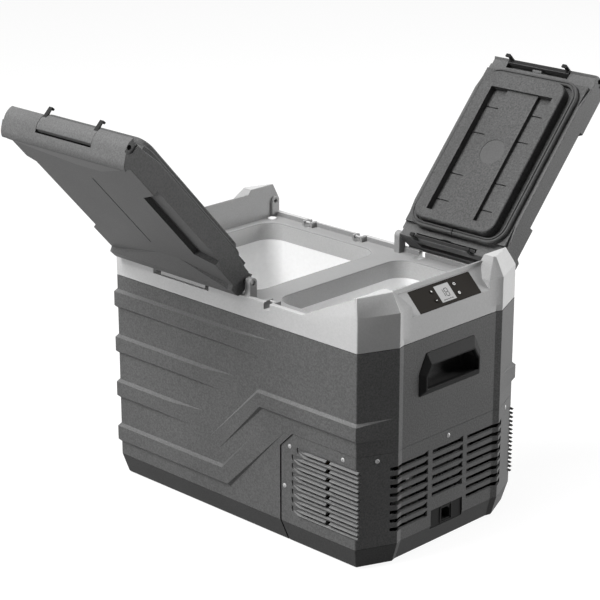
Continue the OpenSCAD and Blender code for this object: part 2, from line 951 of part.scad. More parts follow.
module refrigerant_pipes() {
    mid_x = cond_x + cond_t / 2;
    end_z = fan_z + 40;
    y0 = comp_y - 12;
    y1 = comp_y + 14;
    z0 = comp_top + 10;
    z1 = comp_top + 14;
    x1 = bay_x + 6;
    color("peru") {
        pipe([[comp_x, y0, comp_top], [comp_x, y0, z0], [mid_x, y0, z0], [mid_x, y0, end_z],
            [mid_x, fan_y - cond_half, end_z]], pipe_r);
        pipe([[comp_x, y1, comp_top], [comp_x, y1, z1], [x1, y1, z1], [x1, y1, bay_top]], pipe_r);
    }
}

// Control panel

module on_slope() {
    translate([slope_x, 0, slope_z]) rotate([0, 45, 0]) children();
}

// A block on the slope: middle at the slope's origin, between two heights
module on_panel(along, across, z0, z1) {
    translate([-along / 2, -across / 2, z0]) cube([along, across, z1 - z0]);
}

module panel_cavity() {
    room = 20;
    on_panel(panel_h + 2 * place_clear, panel_w + 2 * place_clear, panel_proud - panel_t, room);
    on_panel(panel_h - 11, panel_w - 16, board_z - board_t - place_clear, room);
}

function switches() = [
    [-switch_x, -switch_y], [switch_x, -switch_y],
    [-switch_x, switch_y], [switch_x, switch_y]
];

module control_bezel() {
    color("black") on_slope() difference() {
        on_panel(panel_h, panel_w, panel_proud - panel_t, panel_proud);
        on_panel(display_h, display_w, -panel_proud, panel_t);
        for (p = switches())
            translate([p[0], p[1], -panel_t]) cylinder(r = button_r + place_clear, h = 2 * panel_t);
    }
}

module display_window() {
    color("lightgray") on_slope() on_panel(display_h, display_w, -panel_proud, panel_proud - 0.2);
}

module control_board() {
    color("darkgreen") on_slope() {
        on_panel(panel_h - 15, panel_w - 24, board_z - board_t, board_z);
        for (p = switches())
            translate([p[0], p[1], 0]) on_panel(tact_w, tact_w, board_z - eps, board_z + tact_h);
    }
}

module button(i) {
    p = switches()[i];
    low = board_z + tact_h + button_travel + 0.2;
    color("white") on_slope() translate([p[0], p[1], low])
        cylinder(r = button_r, h = button_out - low);
}

module plus_button() {
    button(0);
}

module minus_button() {
    button(1);
}

module power_button() {
    button(2);
}

module set_button() {
    button(3);
}

module cabin_lamp() {
    lens_r = 7.5;
    lens_h = 3;
    color("white") translate([-block_x + lens_r + lid_gap, half_w - 26, deck_z])
        cylinder(r = lens_r, h = lens_h);
}

// Lids, drawn closed and then swung open

module left_swing() {
    translate([0, -axis_e, axis_z]) rotate([open_angle, 0, 0]) translate([0, axis_e, -axis_z]) children();
}

module right_swing() {
    translate([0, axis_e, axis_z]) rotate([-open_angle, 0, 0]) translate([0, -axis_e, -axis_z]) children();
}

// Half section of a lid, from the middle out to the edge and back along the top
function lid_half() = [
    [lid_e - 66, lid_low], [lid_e - 24, lid_low + 7], [lid_e - 6, lid_low + 7], [lid_e - 2, lid_low + 4],
    [lid_e, belly_z], [lid_e - 0.5, shoulder_z], [lid_e - 4, brow_z],
    [lid_e - 12.5, lid_top - 6.5], [lid_e - 23, lid_top], [lid_e - 28, lid_top - 2]
];

function flip(p) = [for (i = [len(p) - 1 : -1 : 0]) [-p[i][0], p[i][1]]];

// Dish in one end of a lid that clears a hinge boss; at the low or the high end of the lid
module boss_dish(x, end) {
    x0 = end == 0 ? x[0] - over : x[1] - boss_t;
    x1 = end == 0 ? x[0] + boss_t : x[1] + over;
    rod_x(-axis_e, axis_z, boss_r, x0, x1);
    box(x0, x1, -axis_e - boss_r, -axis_e + boss_r, lid_low, axis_z);
}

module latch_pocket(latch_x) {
    half = paddle_w / 2 + 2 * place_clear;
    box(latch_x - half, latch_x + half, -lid_e - over, -pocket_e, lid_low - over, pocket_top);
    rod_x(-paddle_e, paddle_z, latch_pin_r, latch_x - latch_pin_l / 2, latch_x + latch_pin_l / 2);
}

// Recessed strips on a lid's top, longer towards the hinge
module top_strips(x, hinge) {
    long = lid_e - 79;
    short = long - 12;
    y0 = hinge > 0 ? -short : -long;
    y1 = hinge > 0 ? long : short;
    for (s = [[x[0] - over, x[0] + strip_w / 2], [x[1] - strip_w, x[1] + over]])
        box(s[0], s[1], y0, y1, roof_z - strip_d, lid_top + over);
}

module lid_cover(x, latch_x, hinge) {
    difference() {
        along_x(concat(lid_half(), flip(lid_half())), x[0], x[1]);
        box(x[0] + lid_wall, x[1] - lid_wall, -rail_e, rail_e, lid_low - over, roof_z - lid_wall);
        top_strips(x, hinge);
        both_sides() {
            latch_pocket(latch_x);
            boss_dish(x, 0);
            boss_dish(x, 1);
        }
        for (y = [-1, 1], s = [0, 1])
            rod_x(y * axis_e, axis_z, pin_r + (y == hinge ? 0 : run_clear), x[s] - pin_in, x[s] + pin_in);
    }
}

// A block that fills the inside of a lid between two heights
module lid_fill(x, z0, z1) {
    side = lid_wall + place_clear;
    box(x[0] + side, x[1] - side, -rail_e + place_clear, rail_e - place_clear, z0, z1);
}

// Inner panel with its sealing plug; the plug has a tray with a raised middle strip and a ring
module lid_liner(x, open) {
    low = open[0] + plug_gap;
    high = open[1] - plug_gap;
    deep = opening_y - plug_gap;
    mid = (low + high) / 2;
    strip = (high - low) / 4 - tray_in / 2;
    strip_low = tray_d - 7;
    ring_r = 25;
    ring_w = 1;
    difference() {
        union() {
            lid_fill(x, lid_low, lid_low + liner_t);
            pad(low, high, deep, opening_r - plug_gap, plug_z, lid_low + eps);
        }
        difference() {
            box(low + tray_in, high - tray_in, -deep + tray_in, deep - tray_in,
                plug_z - over, plug_z + tray_d);
            box(mid - strip, mid + strip, -deep, deep, plug_z + strip_low, plug_z + tray_d + over);
        }
        translate([mid, 0, plug_z + strip_low - ring_w]) difference() {
            cylinder(r = ring_r, h = 2 * ring_w);
            translate([0, 0, -over]) cylinder(r = ring_r - ring_w, h = 4 * ring_w);
        }
    }
}

module lid_gasket(open) {
    gap = plug_gap - place_clear;
    ring_pad([open[0] + gap, open[1] - gap], opening_y - gap, opening_r - gap, gasket_w,
        deck_z + place_clear, lid_low);
}

module lid_foam(x) {
    lid_fill(x, lid_low + liner_t, roof_z - strip_d - lid_wall - place_clear);
}

module hinge_pins(x, hinge) {
    rod_x(hinge * axis_e, axis_z, pin_r, x[0] - lid_gap - pin_out, x[0] + pin_in);
    rod_x(hinge * axis_e, axis_z, pin_r, x[1] - pin_in, x[1] + lid_gap + pin_out);
}

// Section of a paddle with its hook, drawn on the back edge
function paddle_section() = [
    [lid_e - 2, paddle_low], [lid_e, belly_z], [lid_e - 0.5, shoulder_z], [lid_e - 3.6, paddle_top],
    [paddle_e + 1, paddle_top], [paddle_e + 1, paddle_low]
];

function hook_section() = concat(
    [[lid_e + 0.5, paddle_low + 4]],
    arc([axis_e, axis_z], hook_ro, -79, -91, 4),
    arc([axis_e, axis_z], hook_ri, -91, -84, 3),
    [[lid_e - 4, paddle_low + 4]]
);

module latch(x) {
    difference() {
        union() {
            along_x(paddle_section(), x - paddle_w / 2, x + paddle_w / 2);
            rod_x(paddle_e, paddle_z, barrel_r, x - paddle_w / 2, x + paddle_w / 2);
            for (s = [-1, 1])
                along_x(hook_section(), x + s * hook_x - hook_w / 2, x + s * hook_x + hook_w / 2);
        }
        rod_x(paddle_e, paddle_z, latch_pin_r + run_clear, x - paddle_w, x + paddle_w);
    }
}

module latch_pins(x) {
    both_sides() rod_x(-paddle_e, paddle_z, latch_pin_r, x - latch_pin_l / 2, x + latch_pin_l / 2);
}

// Leaf springs behind the paddles
module latch_springs(x) {
    w = 18;
    bow = 5;
    leaf = 1;
    section = [[-pocket_e, lid_low + 9], [-pocket_e - bow, lid_low + 6], [-pocket_e - bow, lid_low + 7],
        [-pocket_e - leaf, lid_low + 10], [-pocket_e - leaf, lid_low + 18], [-pocket_e, lid_low + 18]];
    both_sides() along_x(section, x - w / 2, x + w / 2);
}

module left_lid_cover() {
    color("dimgray") left_swing() lid_cover(left_lid_x, left_latch_x, -1);
}

module left_lid_liner() {
    color("gray") left_swing() lid_liner(left_lid_x, left_open);
}

module left_lid_gasket() {
    color("black") left_swing() lid_gasket(left_open);
}

module left_lid_foam() {
    color("khaki") left_swing() lid_foam(left_lid_x);
}

module left_hinge_pins() {
    color("silver") left_swing() hinge_pins(left_lid_x, -1);
}

module left_latch_pins() {
    color("silver") left_swing() latch_pins(left_latch_x);
}

module left_latch_springs() {
    color("silver") left_swing() latch_springs(left_latch_x);
}

module left_front_latch() {
    color("dimgray") left_swing() mirror([0, 1, 0]) latch(left_latch_x);
}

module left_rear_latch() {
    color("dimgray") left_swing() latch(left_latch_x);
}

module right_lid_cover() {
    color("dimgray") right_swing() lid_cover(right_lid_x, right_latch_x, 1);
}

module right_lid_liner() {
    color("gray") right_swing() lid_liner(right_lid_x, right_open);
}

module right_lid_gasket() {
    color("black") right_swing() lid_gasket(right_open);
}

module right_lid_foam() {
    color("khaki") right_swing() lid_foam(right_lid_x);
}

module right_hinge_pins() {
    color("silver") right_swing() hinge_pins(right_lid_x, 1);
}

module right_latch_pins() {
    color("silver") right_swing() latch_pins(right_latch_x);
}

module right_latch_springs() {
    color("silver") right_swing() latch_springs(right_latch_x);
}

module right_front_latch() {
    color("dimgray") right_swing() mirror([0, 1, 0]) latch(right_latch_x);
}

module right_rear_latch() {
    color("dimgray") right_swing() latch(right_latch_x);
}

case_shell();
base_pan();
rubber_feet();
upper_rim();
left_throat();
right_throat();
left_tub();
right_tub();
foam_insulation();
left_evaporator();
right_evaporator();
vent_panel();
vent_screws();
left_handle_cup();
right_handle_cup();
inlet_plate();
power_inlet();
compressor_tray();
compressor_grommets();
compressor();
condenser();
fan_shroud();
fan_rotor();
drive_module();
refrigerant_pipes();
control_bezel();
display_window();
control_board();
plus_button();
minus_button();
power_button();
set_button();
cabin_lamp();
latch_keepers();
left_lid_cover();
left_lid_liner();
left_lid_gasket();
left_lid_foam();
left_hinge_pins();
left_latch_pins();
left_latch_springs();
left_front_latch();
left_rear_latch();
right_lid_cover();
right_lid_liner();
right_lid_gasket();
right_lid_foam();
right_hinge_pins();
right_latch_pins();
right_latch_springs();
right_front_latch();
right_rear_latch();
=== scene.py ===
"""Two-zone compressor cooler fridge with both lids open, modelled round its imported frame."""

import json
import math

import bmesh
import bpy
from mathutils import Matrix, Vector

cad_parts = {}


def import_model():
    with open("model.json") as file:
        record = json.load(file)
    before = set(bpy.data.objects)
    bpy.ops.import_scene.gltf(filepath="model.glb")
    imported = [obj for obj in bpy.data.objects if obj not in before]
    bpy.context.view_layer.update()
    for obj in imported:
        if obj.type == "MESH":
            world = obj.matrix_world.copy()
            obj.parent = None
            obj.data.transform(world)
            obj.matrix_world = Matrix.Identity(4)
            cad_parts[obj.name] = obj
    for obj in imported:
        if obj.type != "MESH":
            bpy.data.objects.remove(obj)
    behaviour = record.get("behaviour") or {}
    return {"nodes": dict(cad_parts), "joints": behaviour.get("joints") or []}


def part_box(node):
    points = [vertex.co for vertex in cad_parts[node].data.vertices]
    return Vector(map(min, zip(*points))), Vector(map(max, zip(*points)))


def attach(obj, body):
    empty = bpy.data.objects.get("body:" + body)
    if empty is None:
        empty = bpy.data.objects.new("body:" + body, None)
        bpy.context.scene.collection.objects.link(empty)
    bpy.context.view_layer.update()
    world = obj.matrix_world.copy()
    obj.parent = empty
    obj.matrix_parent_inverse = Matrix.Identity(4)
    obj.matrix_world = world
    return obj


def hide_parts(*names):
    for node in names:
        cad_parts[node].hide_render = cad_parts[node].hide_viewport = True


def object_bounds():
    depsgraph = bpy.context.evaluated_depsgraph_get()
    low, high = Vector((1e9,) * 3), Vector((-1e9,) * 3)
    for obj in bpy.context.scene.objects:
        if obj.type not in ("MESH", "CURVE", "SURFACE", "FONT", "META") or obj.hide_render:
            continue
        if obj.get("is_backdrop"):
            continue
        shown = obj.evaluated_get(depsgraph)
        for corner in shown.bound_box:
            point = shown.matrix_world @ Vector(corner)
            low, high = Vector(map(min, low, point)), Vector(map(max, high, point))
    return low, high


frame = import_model()
cad_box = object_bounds()

MM = 0.001
NODES = frame["nodes"]


def limits(node):
    """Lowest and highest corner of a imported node, in millimetres."""
    low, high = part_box(node)
    return low / MM, high / MM


def span(node):
    """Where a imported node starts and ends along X, in millimetres."""
    low, high = limits(node)
    return low.x, high.x


# Sizes taken from the frame, in millimetres; E at the end of a name is a distance from the middle along Y
base_low, base_high = limits("base_pan")
rim_low, rim_high = limits("upper_rim")
vent_low, vent_high = limits("vent_panel")
throat_low, throat_high = limits("left_throat")
HALF_L = base_high.x
HALF_W = base_high.y
BASE_LOW = base_low.z
BASE_TOP = base_high.z
SEAM = rim_low.z
TOWER_TOP = rim_high.z
VENT_X = vent_low.x
VENT_TOP = vent_high.z
DECK = throat_high.z
THROAT_LOW = throat_low.z
JOINTS = {joint["name"]: joint for joint in frame["joints"]}
AXIS_E = JOINTS["right_lid_hinge"]["pos_m"][1] / MM
AXIS_Z = JOINTS["right_lid_hinge"]["pos_m"][2] / MM
LID_SPANS = {side: span(side + "_lid_cover") for side in ("left", "right")}
LATCH_X = {side: sum(span(side + "_rear_latch")) / 2 for side in ("left", "right")}

# Case and base
CORNER_X = 27.5
CORNER_Y = 64
END_STEP = 3.5
END_SLOPE = 12
WALL = 3
BASE_IN = 9
CORNER_R = 3
EDGE_X = HALF_L - CORNER_X
RIDGE_Y = HALF_W - CORNER_Y
FLAT_Y = RIDGE_Y - END_SLOPE
END_X = HALF_L - END_STEP
FOOT_X = HALF_L - 70
FOOT_Y = HALF_W - 60
FOOT_R = 14

# Raised bands on the long faces
BAND_H = 33
BAND_D = 4.5
BAND_PITCH = 79
BAND_TOP = SEAM - 24
BAND_FADE = 75
BAND_WRAP = 60
BAND_START = -EDGE_X - BAND_WRAP
BAND_L = 358
BAND_STEP = 77
BAND_TAIL = 30
LOW_BAND_TOP = BAND_TOP - 3 * BAND_PITCH

# Vent panel
VENT_CUT = 26
VENT_GAP = 0.5
GROOVE_W = 3.4
GROOVE_D = 2.5
LOUVRE_N = 8
LOUVRE_PITCH = 14.3
LOUVRE_LOW = VENT_TOP - 17 - LOUVRE_N * LOUVRE_PITCH
LOUVRE_H = 7
LOUVRE_RIB = HALF_L - 85
TIP_L = 13
FIELD_D = 1.8
END_SLOT_H = 7.4
END_SLOT_RISE = 1.1

# Upper rim; the clearance keeps faces from coinciding
CLEAR = 0.05
RIM_TOP = SEAM + 34
RIM_WALL = 9
DECK_T = 8
HIP = SEAM + 55
HIP_IN = 15
SADDLE_TOP = TOWER_TOP - 8
LID_GAP = 1.5
BLOCK_X = LID_SPANS["right"][1] + LID_GAP
DIVIDER_X = (LID_SPANS["left"][1] + LID_SPANS["right"][0]) / 2
TAB_W = LID_SPANS["right"][0] - LID_SPANS["left"][1] - 2 * LID_GAP
BOSS_R = 8
PIN_R = 4
PIN_OUT = 9
POST_T = 3.6
CHEEK_L = 103

# Compartments
TUB_WALL = 3
OPEN_R = 32
OPEN_Y = throat_high.y - TUB_WALL
OPENINGS = {}
for side in ("left", "right"):
    opening_low, opening_high = span(side + "_throat")
    OPENINGS[side] = (opening_low + TUB_WALL, opening_high - TUB_WALL)

# Lids
OPEN_ANGLE = 132
LID_LOW = RIM_TOP + 1
LID_E = HALF_W - 7
LID_WALL = 4
RAIL_E = LID_E - 27
ROOF = TOWER_TOP - 8
RIDGE_E = LID_E - 23
STRIP_D = 9
STRIP_LEFT = 15
STRIP_RIGHT = 36
CREASE_E = 84
CREASE_D = 1.6
PLUG_GAP = 5
PLUG_Z = LID_LOW - 18
PLUG_R = OPEN_R - 5
PLUG_SHIFT = 3
PLUG_END = 9
TRAY_IN = 25
TRAY_D = 12
TRAY_STRIP_Z = PLUG_Z + TRAY_D - 7
DISC_R = 22.5
DISC_Z = TRAY_STRIP_Z + 0.7
BOSS_T = 3
PIN_IN = 12

# Latches and their seats in the rim
PADDLE_W = 126
PADDLE_E = LID_E - 10
PADDLE_Z = AXIS_Z + 6
PADDLE_LOW = LID_LOW + 4
PADDLE_TOP = PADDLE_Z + 4.5
POCKET_E = PADDLE_E - 7
POCKET_BACK = PADDLE_E - 2
POCKET_W = PADDLE_W + 1.2
POCKET_TOP = PADDLE_TOP + 5
LATCH_PIN_R = 2
HOOK_X = PADDLE_W / 2 - 5
HOOK_W = 8.2
HOOK_OUT = AXIS_Z - DECK + 1
HOOK_IN = HOOK_OUT - 3.5
SLOT_W = HOOK_W + 4.8
SLOT_Z = AXIS_Z - HOOK_OUT - 2
SLOT_IN = AXIS_E - 11
RECESS_D = RIM_WALL - 4
KEEPER_E = AXIS_E - 3
KEEPER_Z = AXIS_Z - HOOK_IN + 4
KEEPER_WALL = 5
KEEPER_UP = 2.8

# Control panel on its slope, and the marks on it
PANEL_W = 140
PANEL_H = 39
PANEL_T = 4
PANEL_PROUD = 0.6
SLOPE_X = END_X - PANEL_H / math.sqrt(8)
SLOPE_Z = SADDLE_TOP - 22
DISPLAY_W = 33
DISPLAY_H = 29
DISPLAY_TOP = PANEL_PROUD - 0.2
DIGIT_SIZE = 6.5
MARK_IN = 0.3
MARK_OUT = 0.08
SWITCH_X = 8
SWITCH_Y = DISPLAY_W / 2 + 9.5
BUTTON_R = 3.3
BUTTON_LOW = -5
BUTTON_OUT = 1.6
ON_SLOPE = Matrix.Translation((SLOPE_X, 0, SLOPE_Z)) @ Matrix.Rotation(math.pi / 4, 4, "Y")

# Handle cups and supply inlet
HANDLE_TOP = SEAM - 25
HANDLE_LOW = HANDLE_TOP - 67
HANDLE_W = 142
HANDLE_D = 34
HANDLE_OUT = 7.5
MOUTH_IN = 8.5
MOUTH_DROP = 17
INLET_W = 74
INLET_H = 31
INLET_Z = 46
INLET_X = END_X - 2
INLET_T = 10
SOCKET_W = 24
SOCKET_D = 26


# Mesh helpers: everything is drawn in millimetres and scaled when a piece is finished

MERGE_GAP = 0.01
FLAT_ANGLE = 0.4


def new_object(name, data):
    obj = bpy.data.objects.new(name, data)
    bpy.context.scene.collection.objects.link(obj)
    return obj


def as_object(bm, name="solid"):
    """Object from an edited mesh, with its faces outward."""
    bmesh.ops.recalc_face_normals(bm, faces=bm.faces)
    mesh = bpy.data.meshes.new(name)
    bm.to_mesh(mesh)
    bm.free()
    return new_object(name, mesh)


def loft(rings, closed=False):
    """Solid through rings of equal length; it ends in caps, or joins up where it is closed."""
    bm = bmesh.new()
    rows = [[bm.verts.new(point) for point in points] for points in rings]
    pairs = list(zip(rows, rows[1:]))
    if closed:
        pairs.append((rows[-1], rows[0]))
    else:
        bm.faces.new(rows[0][::-1])
        bm.faces.new(rows[-1])
    for low, high in pairs:
        for i in range(len(low)):
            j = (i + 1) % len(low)
            bm.faces.new((low[i], low[j], high[j], high[i]))
    return as_object(bm)


def place(axis, u, v, w):
    """Point from an outline's two coordinates and the place along its axis."""
    if axis == "x":
        return (w, u, v)
    if axis == "y":
        return (u, w, v)
    return (u, v, w)


def ring(points, w, axis="z"):
    """An outline's points at one place along an axis."""
    return [place(axis, u, v, w) for u, v in points]


def prism(axis, points, low, high):
    """Solid of one outline: (y, z) points along x, (x, z) points along y, (x, y) points along z."""
    return loft([ring(points, low, axis), ring(points, high, axis)])


def block(x0, x1, y0, y1, z0, z1):
    return prism("z", [(x0, y0), (x1, y0), (x1, y1), (x0, y1)], z0, z1)


def slab(half_x, half_y, z0, z1, x=0, y=0):
    """Block from its half sizes about a middle."""
    return block(x - half_x, x + half_x, y - half_y, y + half_y, z0, z1)


def circle(centre, radius, sides=40):
    angles = [2 * math.pi * i / sides for i in range(sides)]
    return [(centre[0] + radius * math.cos(a), centre[1] + radius * math.sin(a)) for a in angles]


def rod(axis, centre, radius, low, high, sides=40):
    return prism(axis, circle(centre, radius, sides), low, high)


def lathe(profile, sides=40):
    """Solid turned about z from (radius, height) points."""
    return loft([ring(circle((0, 0), radius, sides), z) for radius, z in profile])


def arc(centre, radius, start, end, steps):
    """Points on an arc; the angles are in degrees."""
    angles = [math.radians(start + (end - start) * i / steps) for i in range(steps + 1)]
    return [(centre[0] + radius * math.cos(a), centre[1] + radius * math.sin(a)) for a in angles]


def vectors(points):
    return [Vector(p) for p in points]


def rounded(points, radii, steps=4):
    """Outline with its corners rounded; a corner of radius 0 stays sharp."""
    result = []
    for i, radius in enumerate(radii):
        here = Vector(points[i])
        if not radius:
            result.append(here)
            continue
        before = (Vector(points[i - 1]) - here).normalized()
        after = (Vector(points[(i + 1) % len(points)]) - here).normalized()
        half = before.angle(after) / 2
        centre = here + (before + after).normalized() * radius / math.sin(half)
        start = here + before * radius / math.tan(half) - centre
        end = here + after * radius / math.tan(half) - centre
        turn = start.angle_signed(end)
        for step in range(steps + 1):
            result.append(centre + Matrix.Rotation(-turn * step / steps, 2) @ start)
    return result


def box_outline(u0, u1, v0, v1, radius, steps=4):
    return rounded([(u0, v0), (u1, v0), (u1, v1), (u0, v1)], [radius] * 4, steps)


def curve(points, steps):
    """Smooth line through points."""
    ends = [2 * points[0] - points[1], *points, 2 * points[-1] - points[-2]]
    result = []
    for a, b, c, d in zip(ends, ends[1:], ends[2:], ends[3:]):
        for step in range(steps):
            t = step / steps
            result.append((b * 2 + (c - a) * t + (a * 2 - b * 5 + c * 4 - d) * t ** 2
                           + (b * 3 - a - c * 3 + d) * t ** 3) / 2)
    return result + [points[-1]]


def settle(obj):
    """Applies the modifiers of an object."""
    bpy.context.view_layer.update()
    graph = bpy.context.evaluated_depsgraph_get()
    before = obj.data
    after = bpy.data.meshes.new_from_object(obj.evaluated_get(graph))
    obj.modifiers.clear()
    obj.data = after
    bpy.data.meshes.remove(before)
    return obj


def drop(obj):
    mesh = obj.data
    bpy.data.objects.remove(obj)
    bpy.data.meshes.remove(mesh)


def combine(target, parts, operation):
    """Adds other solids to a solid, cuts them out of it, or keeps what it shares with them."""
    group = bpy.data.collections.new("operands")
    for part in parts:
        group.objects.link(part)
    step = target.modifiers.new("combine", "BOOLEAN")
    step.operation = operation
    step.operand_type = "COLLECTION"
    step.collection = group
    step.solver = "EXACT"
    settle(target)
    for part in parts:
        drop(part)
    bpy.data.collections.remove(group)
    return target


def fuse(target, *parts):
    return combine(target, parts, "UNION")


def carve(target, *parts):
    return combine(target, parts, "DIFFERENCE")


def tidy(obj):
    """Merges points that coincide and flat faces that meet."""
    bm = bmesh.new()
    bm.from_mesh(obj.data)
    bmesh.ops.remove_doubles(bm, verts=bm.verts, dist=MERGE_GAP)
    bmesh.ops.dissolve_degenerate(bm, edges=bm.edges, dist=MERGE_GAP)
    bmesh.ops.dissolve_limit(bm, angle_limit=math.radians(FLAT_ANGLE), verts=bm.verts, edges=bm.edges)
    bm.to_mesh(obj.data)
    bm.free()
    return obj


def soften(obj, width, segments=3, angle=32):
    """Rounds the edges of a solid that are sharper than an angle."""
    tidy(obj)
    step = obj.modifiers.new("soften", "BEVEL")
    step.width = width
    step.segments = segments
    step.limit_method = "ANGLE"
    step.angle_limit = math.radians(angle)
    step.use_clamp_overlap = False
    return settle(obj)


def moved(obj, matrix):
    """The object with its points moved; a mirrored one keeps its faces outward."""
    obj.data.transform(matrix)
    if matrix.determinant() < 0:
        obj.data.flip_normals()
    return obj


def copied(obj, matrix):
    return moved(new_object(obj.name, obj.data.copy()), matrix)


def mirror(axes):
    """Matrix that mirrors across the middle plane of each named axis."""
    return Matrix.Diagonal([-1 if axis in axes else 1 for axis in "xyz"] + [1])


def flipped(obj, axes):
    return copied(obj, mirror(axes))


def both(axis, *objs):
    """The objects and their mirror images."""
    return [*objs, *[flipped(obj, axis) for obj in objs]]


def joined(objs):
    """One object from several that don't overlap."""
    bm = bmesh.new()
    for obj in objs:
        bm.from_mesh(obj.data)
        drop(obj)
    return as_object(bm)


def paint(obj, *materials):
    for material in materials:
        obj.data.materials.append(material)


def tone(obj, material, other, chosen):
    """Gives a piece two materials: the other one goes to the faces that are chosen."""
    paint(obj, material, other)
    for face in obj.data.polygons:
        if chosen(face):
            face.material_index = 1


def piece(obj, node, material=None, body="case", turn=None, smooth=30):
    """Finishes a piece: its place, size, shading, material, body and the node that it stands for."""
    tidy(obj)
    if turn:
        moved(obj, turn)
    obj.data.transform(Matrix.Scale(MM, 4))
    obj.name = node + "_visual"
    obj.data.name = node + "_visual"
    obj.data.shade_smooth()
    obj.data.set_sharp_from_angle(angle=math.radians(smooth))
    weighted = obj.modifiers.new("normals", "WEIGHTED_NORMAL")
    weighted.keep_sharp = True
    if not obj.data.materials:
        paint(obj, material)
    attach(obj, body)
    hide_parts(node)


# Materials

GLOSS = 0.12
SPECKLE = 0.45
DRIFT = 9
ROUGH_VARY = 0.06
PIT_DEPTH = 0.3 * MM


def linked(tree, source, output, target, socket):
    tree.links.new(source.outputs[output], target.inputs[socket])


def added(tree, kind, values):
    """New shader node with some of its inputs set."""
    return given(tree.nodes.new("ShaderNode" + kind), values)


def given(node, values):
    for socket, value in values.items():
        node.inputs[socket].default_value = value
    return node


def number(tree, operation, first, second):
    """Number from two others, each of them a node and the name of its output."""
    node = tree.nodes.new("ShaderNodeMath")
    node.operation = operation
    linked(tree, *first, node, 0)
    linked(tree, *second, node, 1)
    return node


def noise(tree, coords, scale, detail):
    node = added(tree, "TexNoise", {"Scale": scale, "Detail": detail})
    linked(tree, coords, "Object", node, "Vector")
    return node


def spread(tree, pattern, middle, vary):
    """Turns the middle range of a noise into numbers that vary about a middle one."""
    ends = {"From Min": 0.3, "From Max": 0.7, "To Min": middle - vary, "To Max": middle + vary}
    node = added(tree, "MapRange", ends)
    linked(tree, pattern, "Fac", node, "Value")
    return node


def moulded(name, colour, roughness, vary=0.1, grain=0.0, grain_size=1.0, cast=0.06,
            metallic=0.0, gloss=GLOSS):
    """Surface with a fine speckle, slow shifts of tone and a grain; the grain's size is in millimetres."""
    material = bpy.data.materials.new(name)
    material.use_nodes = True
    tree = material.node_tree
    shader = given(tree.nodes["Principled BSDF"], {"Specular IOR Level": gloss, "Metallic": metallic})
    coords = tree.nodes.new("ShaderNodeTexCoord")
    speckle = noise(tree, coords, SPECKLE / (grain_size * MM), 3)
    drift = noise(tree, coords, DRIFT, 2)
    fine = spread(tree, speckle, 1, vary)
    slow = spread(tree, drift, 1, cast)
    level = number(tree, "MULTIPLY", (fine, "Result"), (slow, "Result"))
    tint = added(tree, "VectorMath", {0: colour})
    tint.operation = "SCALE"
    linked(tree, level, "Value", tint, "Scale")
    linked(tree, tint, "Vector", shader, "Base Color")
    linked(tree, spread(tree, speckle, roughness, ROUGH_VARY), "Result", shader, "Roughness")
    if grain:
        pits = noise(tree, coords, 1 / (grain_size * MM), 2)
        bump = added(tree, "Bump", {"Strength": grain, "Distance": PIT_DEPTH})
        linked(tree, pits, "Fac", bump, "Height")
        linked(tree, bump, "Normal", shader, "Normal")
    return material


def grey(level):
    return (level, level, level)


# In order: name, colour, roughness, speckle, grain, grain size, slow shifts of tone
case_plastic = moulded("case_plastic", grey(0.09), 0.52, 0.26, 0.4, 1.15)
# Lighter grey of the case that paints a highlight on its upward-facing bevels and slopes
case_painted_highlight = moulded("case_painted_highlight", grey(0.12), 0.45, 0.2, 0.3)
base_plastic = moulded("base_plastic", grey(0.034), 0.52, 0.3, 0.4, 1.15)
rim_plastic = moulded("rim_plastic", grey(0.44), 0.58, 0.05, 0.12, 1.2, 0.03)
# Darker grey that paints shade on the rim's deck and inner walls, round the compartments and the control
# panel
deck_painted_shade = moulded("deck_painted_shade", grey(0.27), 0.55, 0.05, 0.12, 1.2, 0.03)
throat_plastic = moulded("throat_plastic", grey(0.43), 0.5, 0.05, 0.1, 1.2, 0.03)
tub_plastic = moulded("tub_plastic", grey(0.86), 0.35, 0.02, 0.0, 3.0, 0.01)
lid_plastic = moulded("lid_plastic", grey(0.096), 0.52, 0.22, 0.4, 1.05)
liner_plastic = moulded("liner_plastic", grey(0.071), 0.55, 0.34, 0.4, 1.3)
disc_plastic = moulded("disc_plastic", grey(0.084), 0.45, 0.12, 0.15)
rubber = moulded("seal_rubber", grey(0.05), 0.75, 0.15, 0.2)
gasket_rubber = moulded("gasket_rubber", grey(0.07), 0.7, 0.12, 0.15)
black_plastic = moulded("black_plastic", grey(0.022), 0.5, 0.15, 0.25, gloss=0.04)
# Grey of the inside of a handle cup's pocket, lighter than the cup's own black: painted light
pocket_painted_light = moulded("pocket_painted_light", grey(0.07), 0.6, 0.15, 0.25, gloss=0.03)
# Lighter grey that paints a highlight on the upper sides of the louvre bars
louvre_painted_highlight = moulded("louvre_painted_highlight", grey(0.16), 0.4, 0.12, 0.2)
panel_film = moulded("panel_film", (0.0168, 0.015, 0.0132), 0.45, 0.06, 0.05, 0.8, 0.05, gloss=0.03)
display_glass = moulded("display_glass", grey(0.36), 0.2, 0.03, 0.0, 2.0, 0.05)
display_ink = moulded("display_ink", grey(0.05), 0.4)
white_print = moulded("white_print", grey(0.8), 0.5, 0.04)
lamp_lens = moulded("lamp_lens", grey(0.85), 0.25, 0.03, 0.05, 2.0, 0.02)
steel = moulded("steel", grey(0.5), 0.32, 0.06, 0.06, 0.6, 0.04, metallic=1)
spring_steel = moulded("spring_steel", grey(0.1), 0.4, 0.06, 0.06, 0.6, 0.04, metallic=1)
screw_steel = moulded("screw_steel", grey(0.42), 0.5, 0.06, 0.06, 0.6, 0.04, metallic=0.3)
aluminium = moulded("aluminium", grey(0.65), 0.38, 0.06, 0.1, 0.8, 0.04, metallic=1)
copper = moulded("copper", (0.7, 0.33, 0.2), 0.35, 0.08, 0.06, 0.8, 0.08, metallic=1)
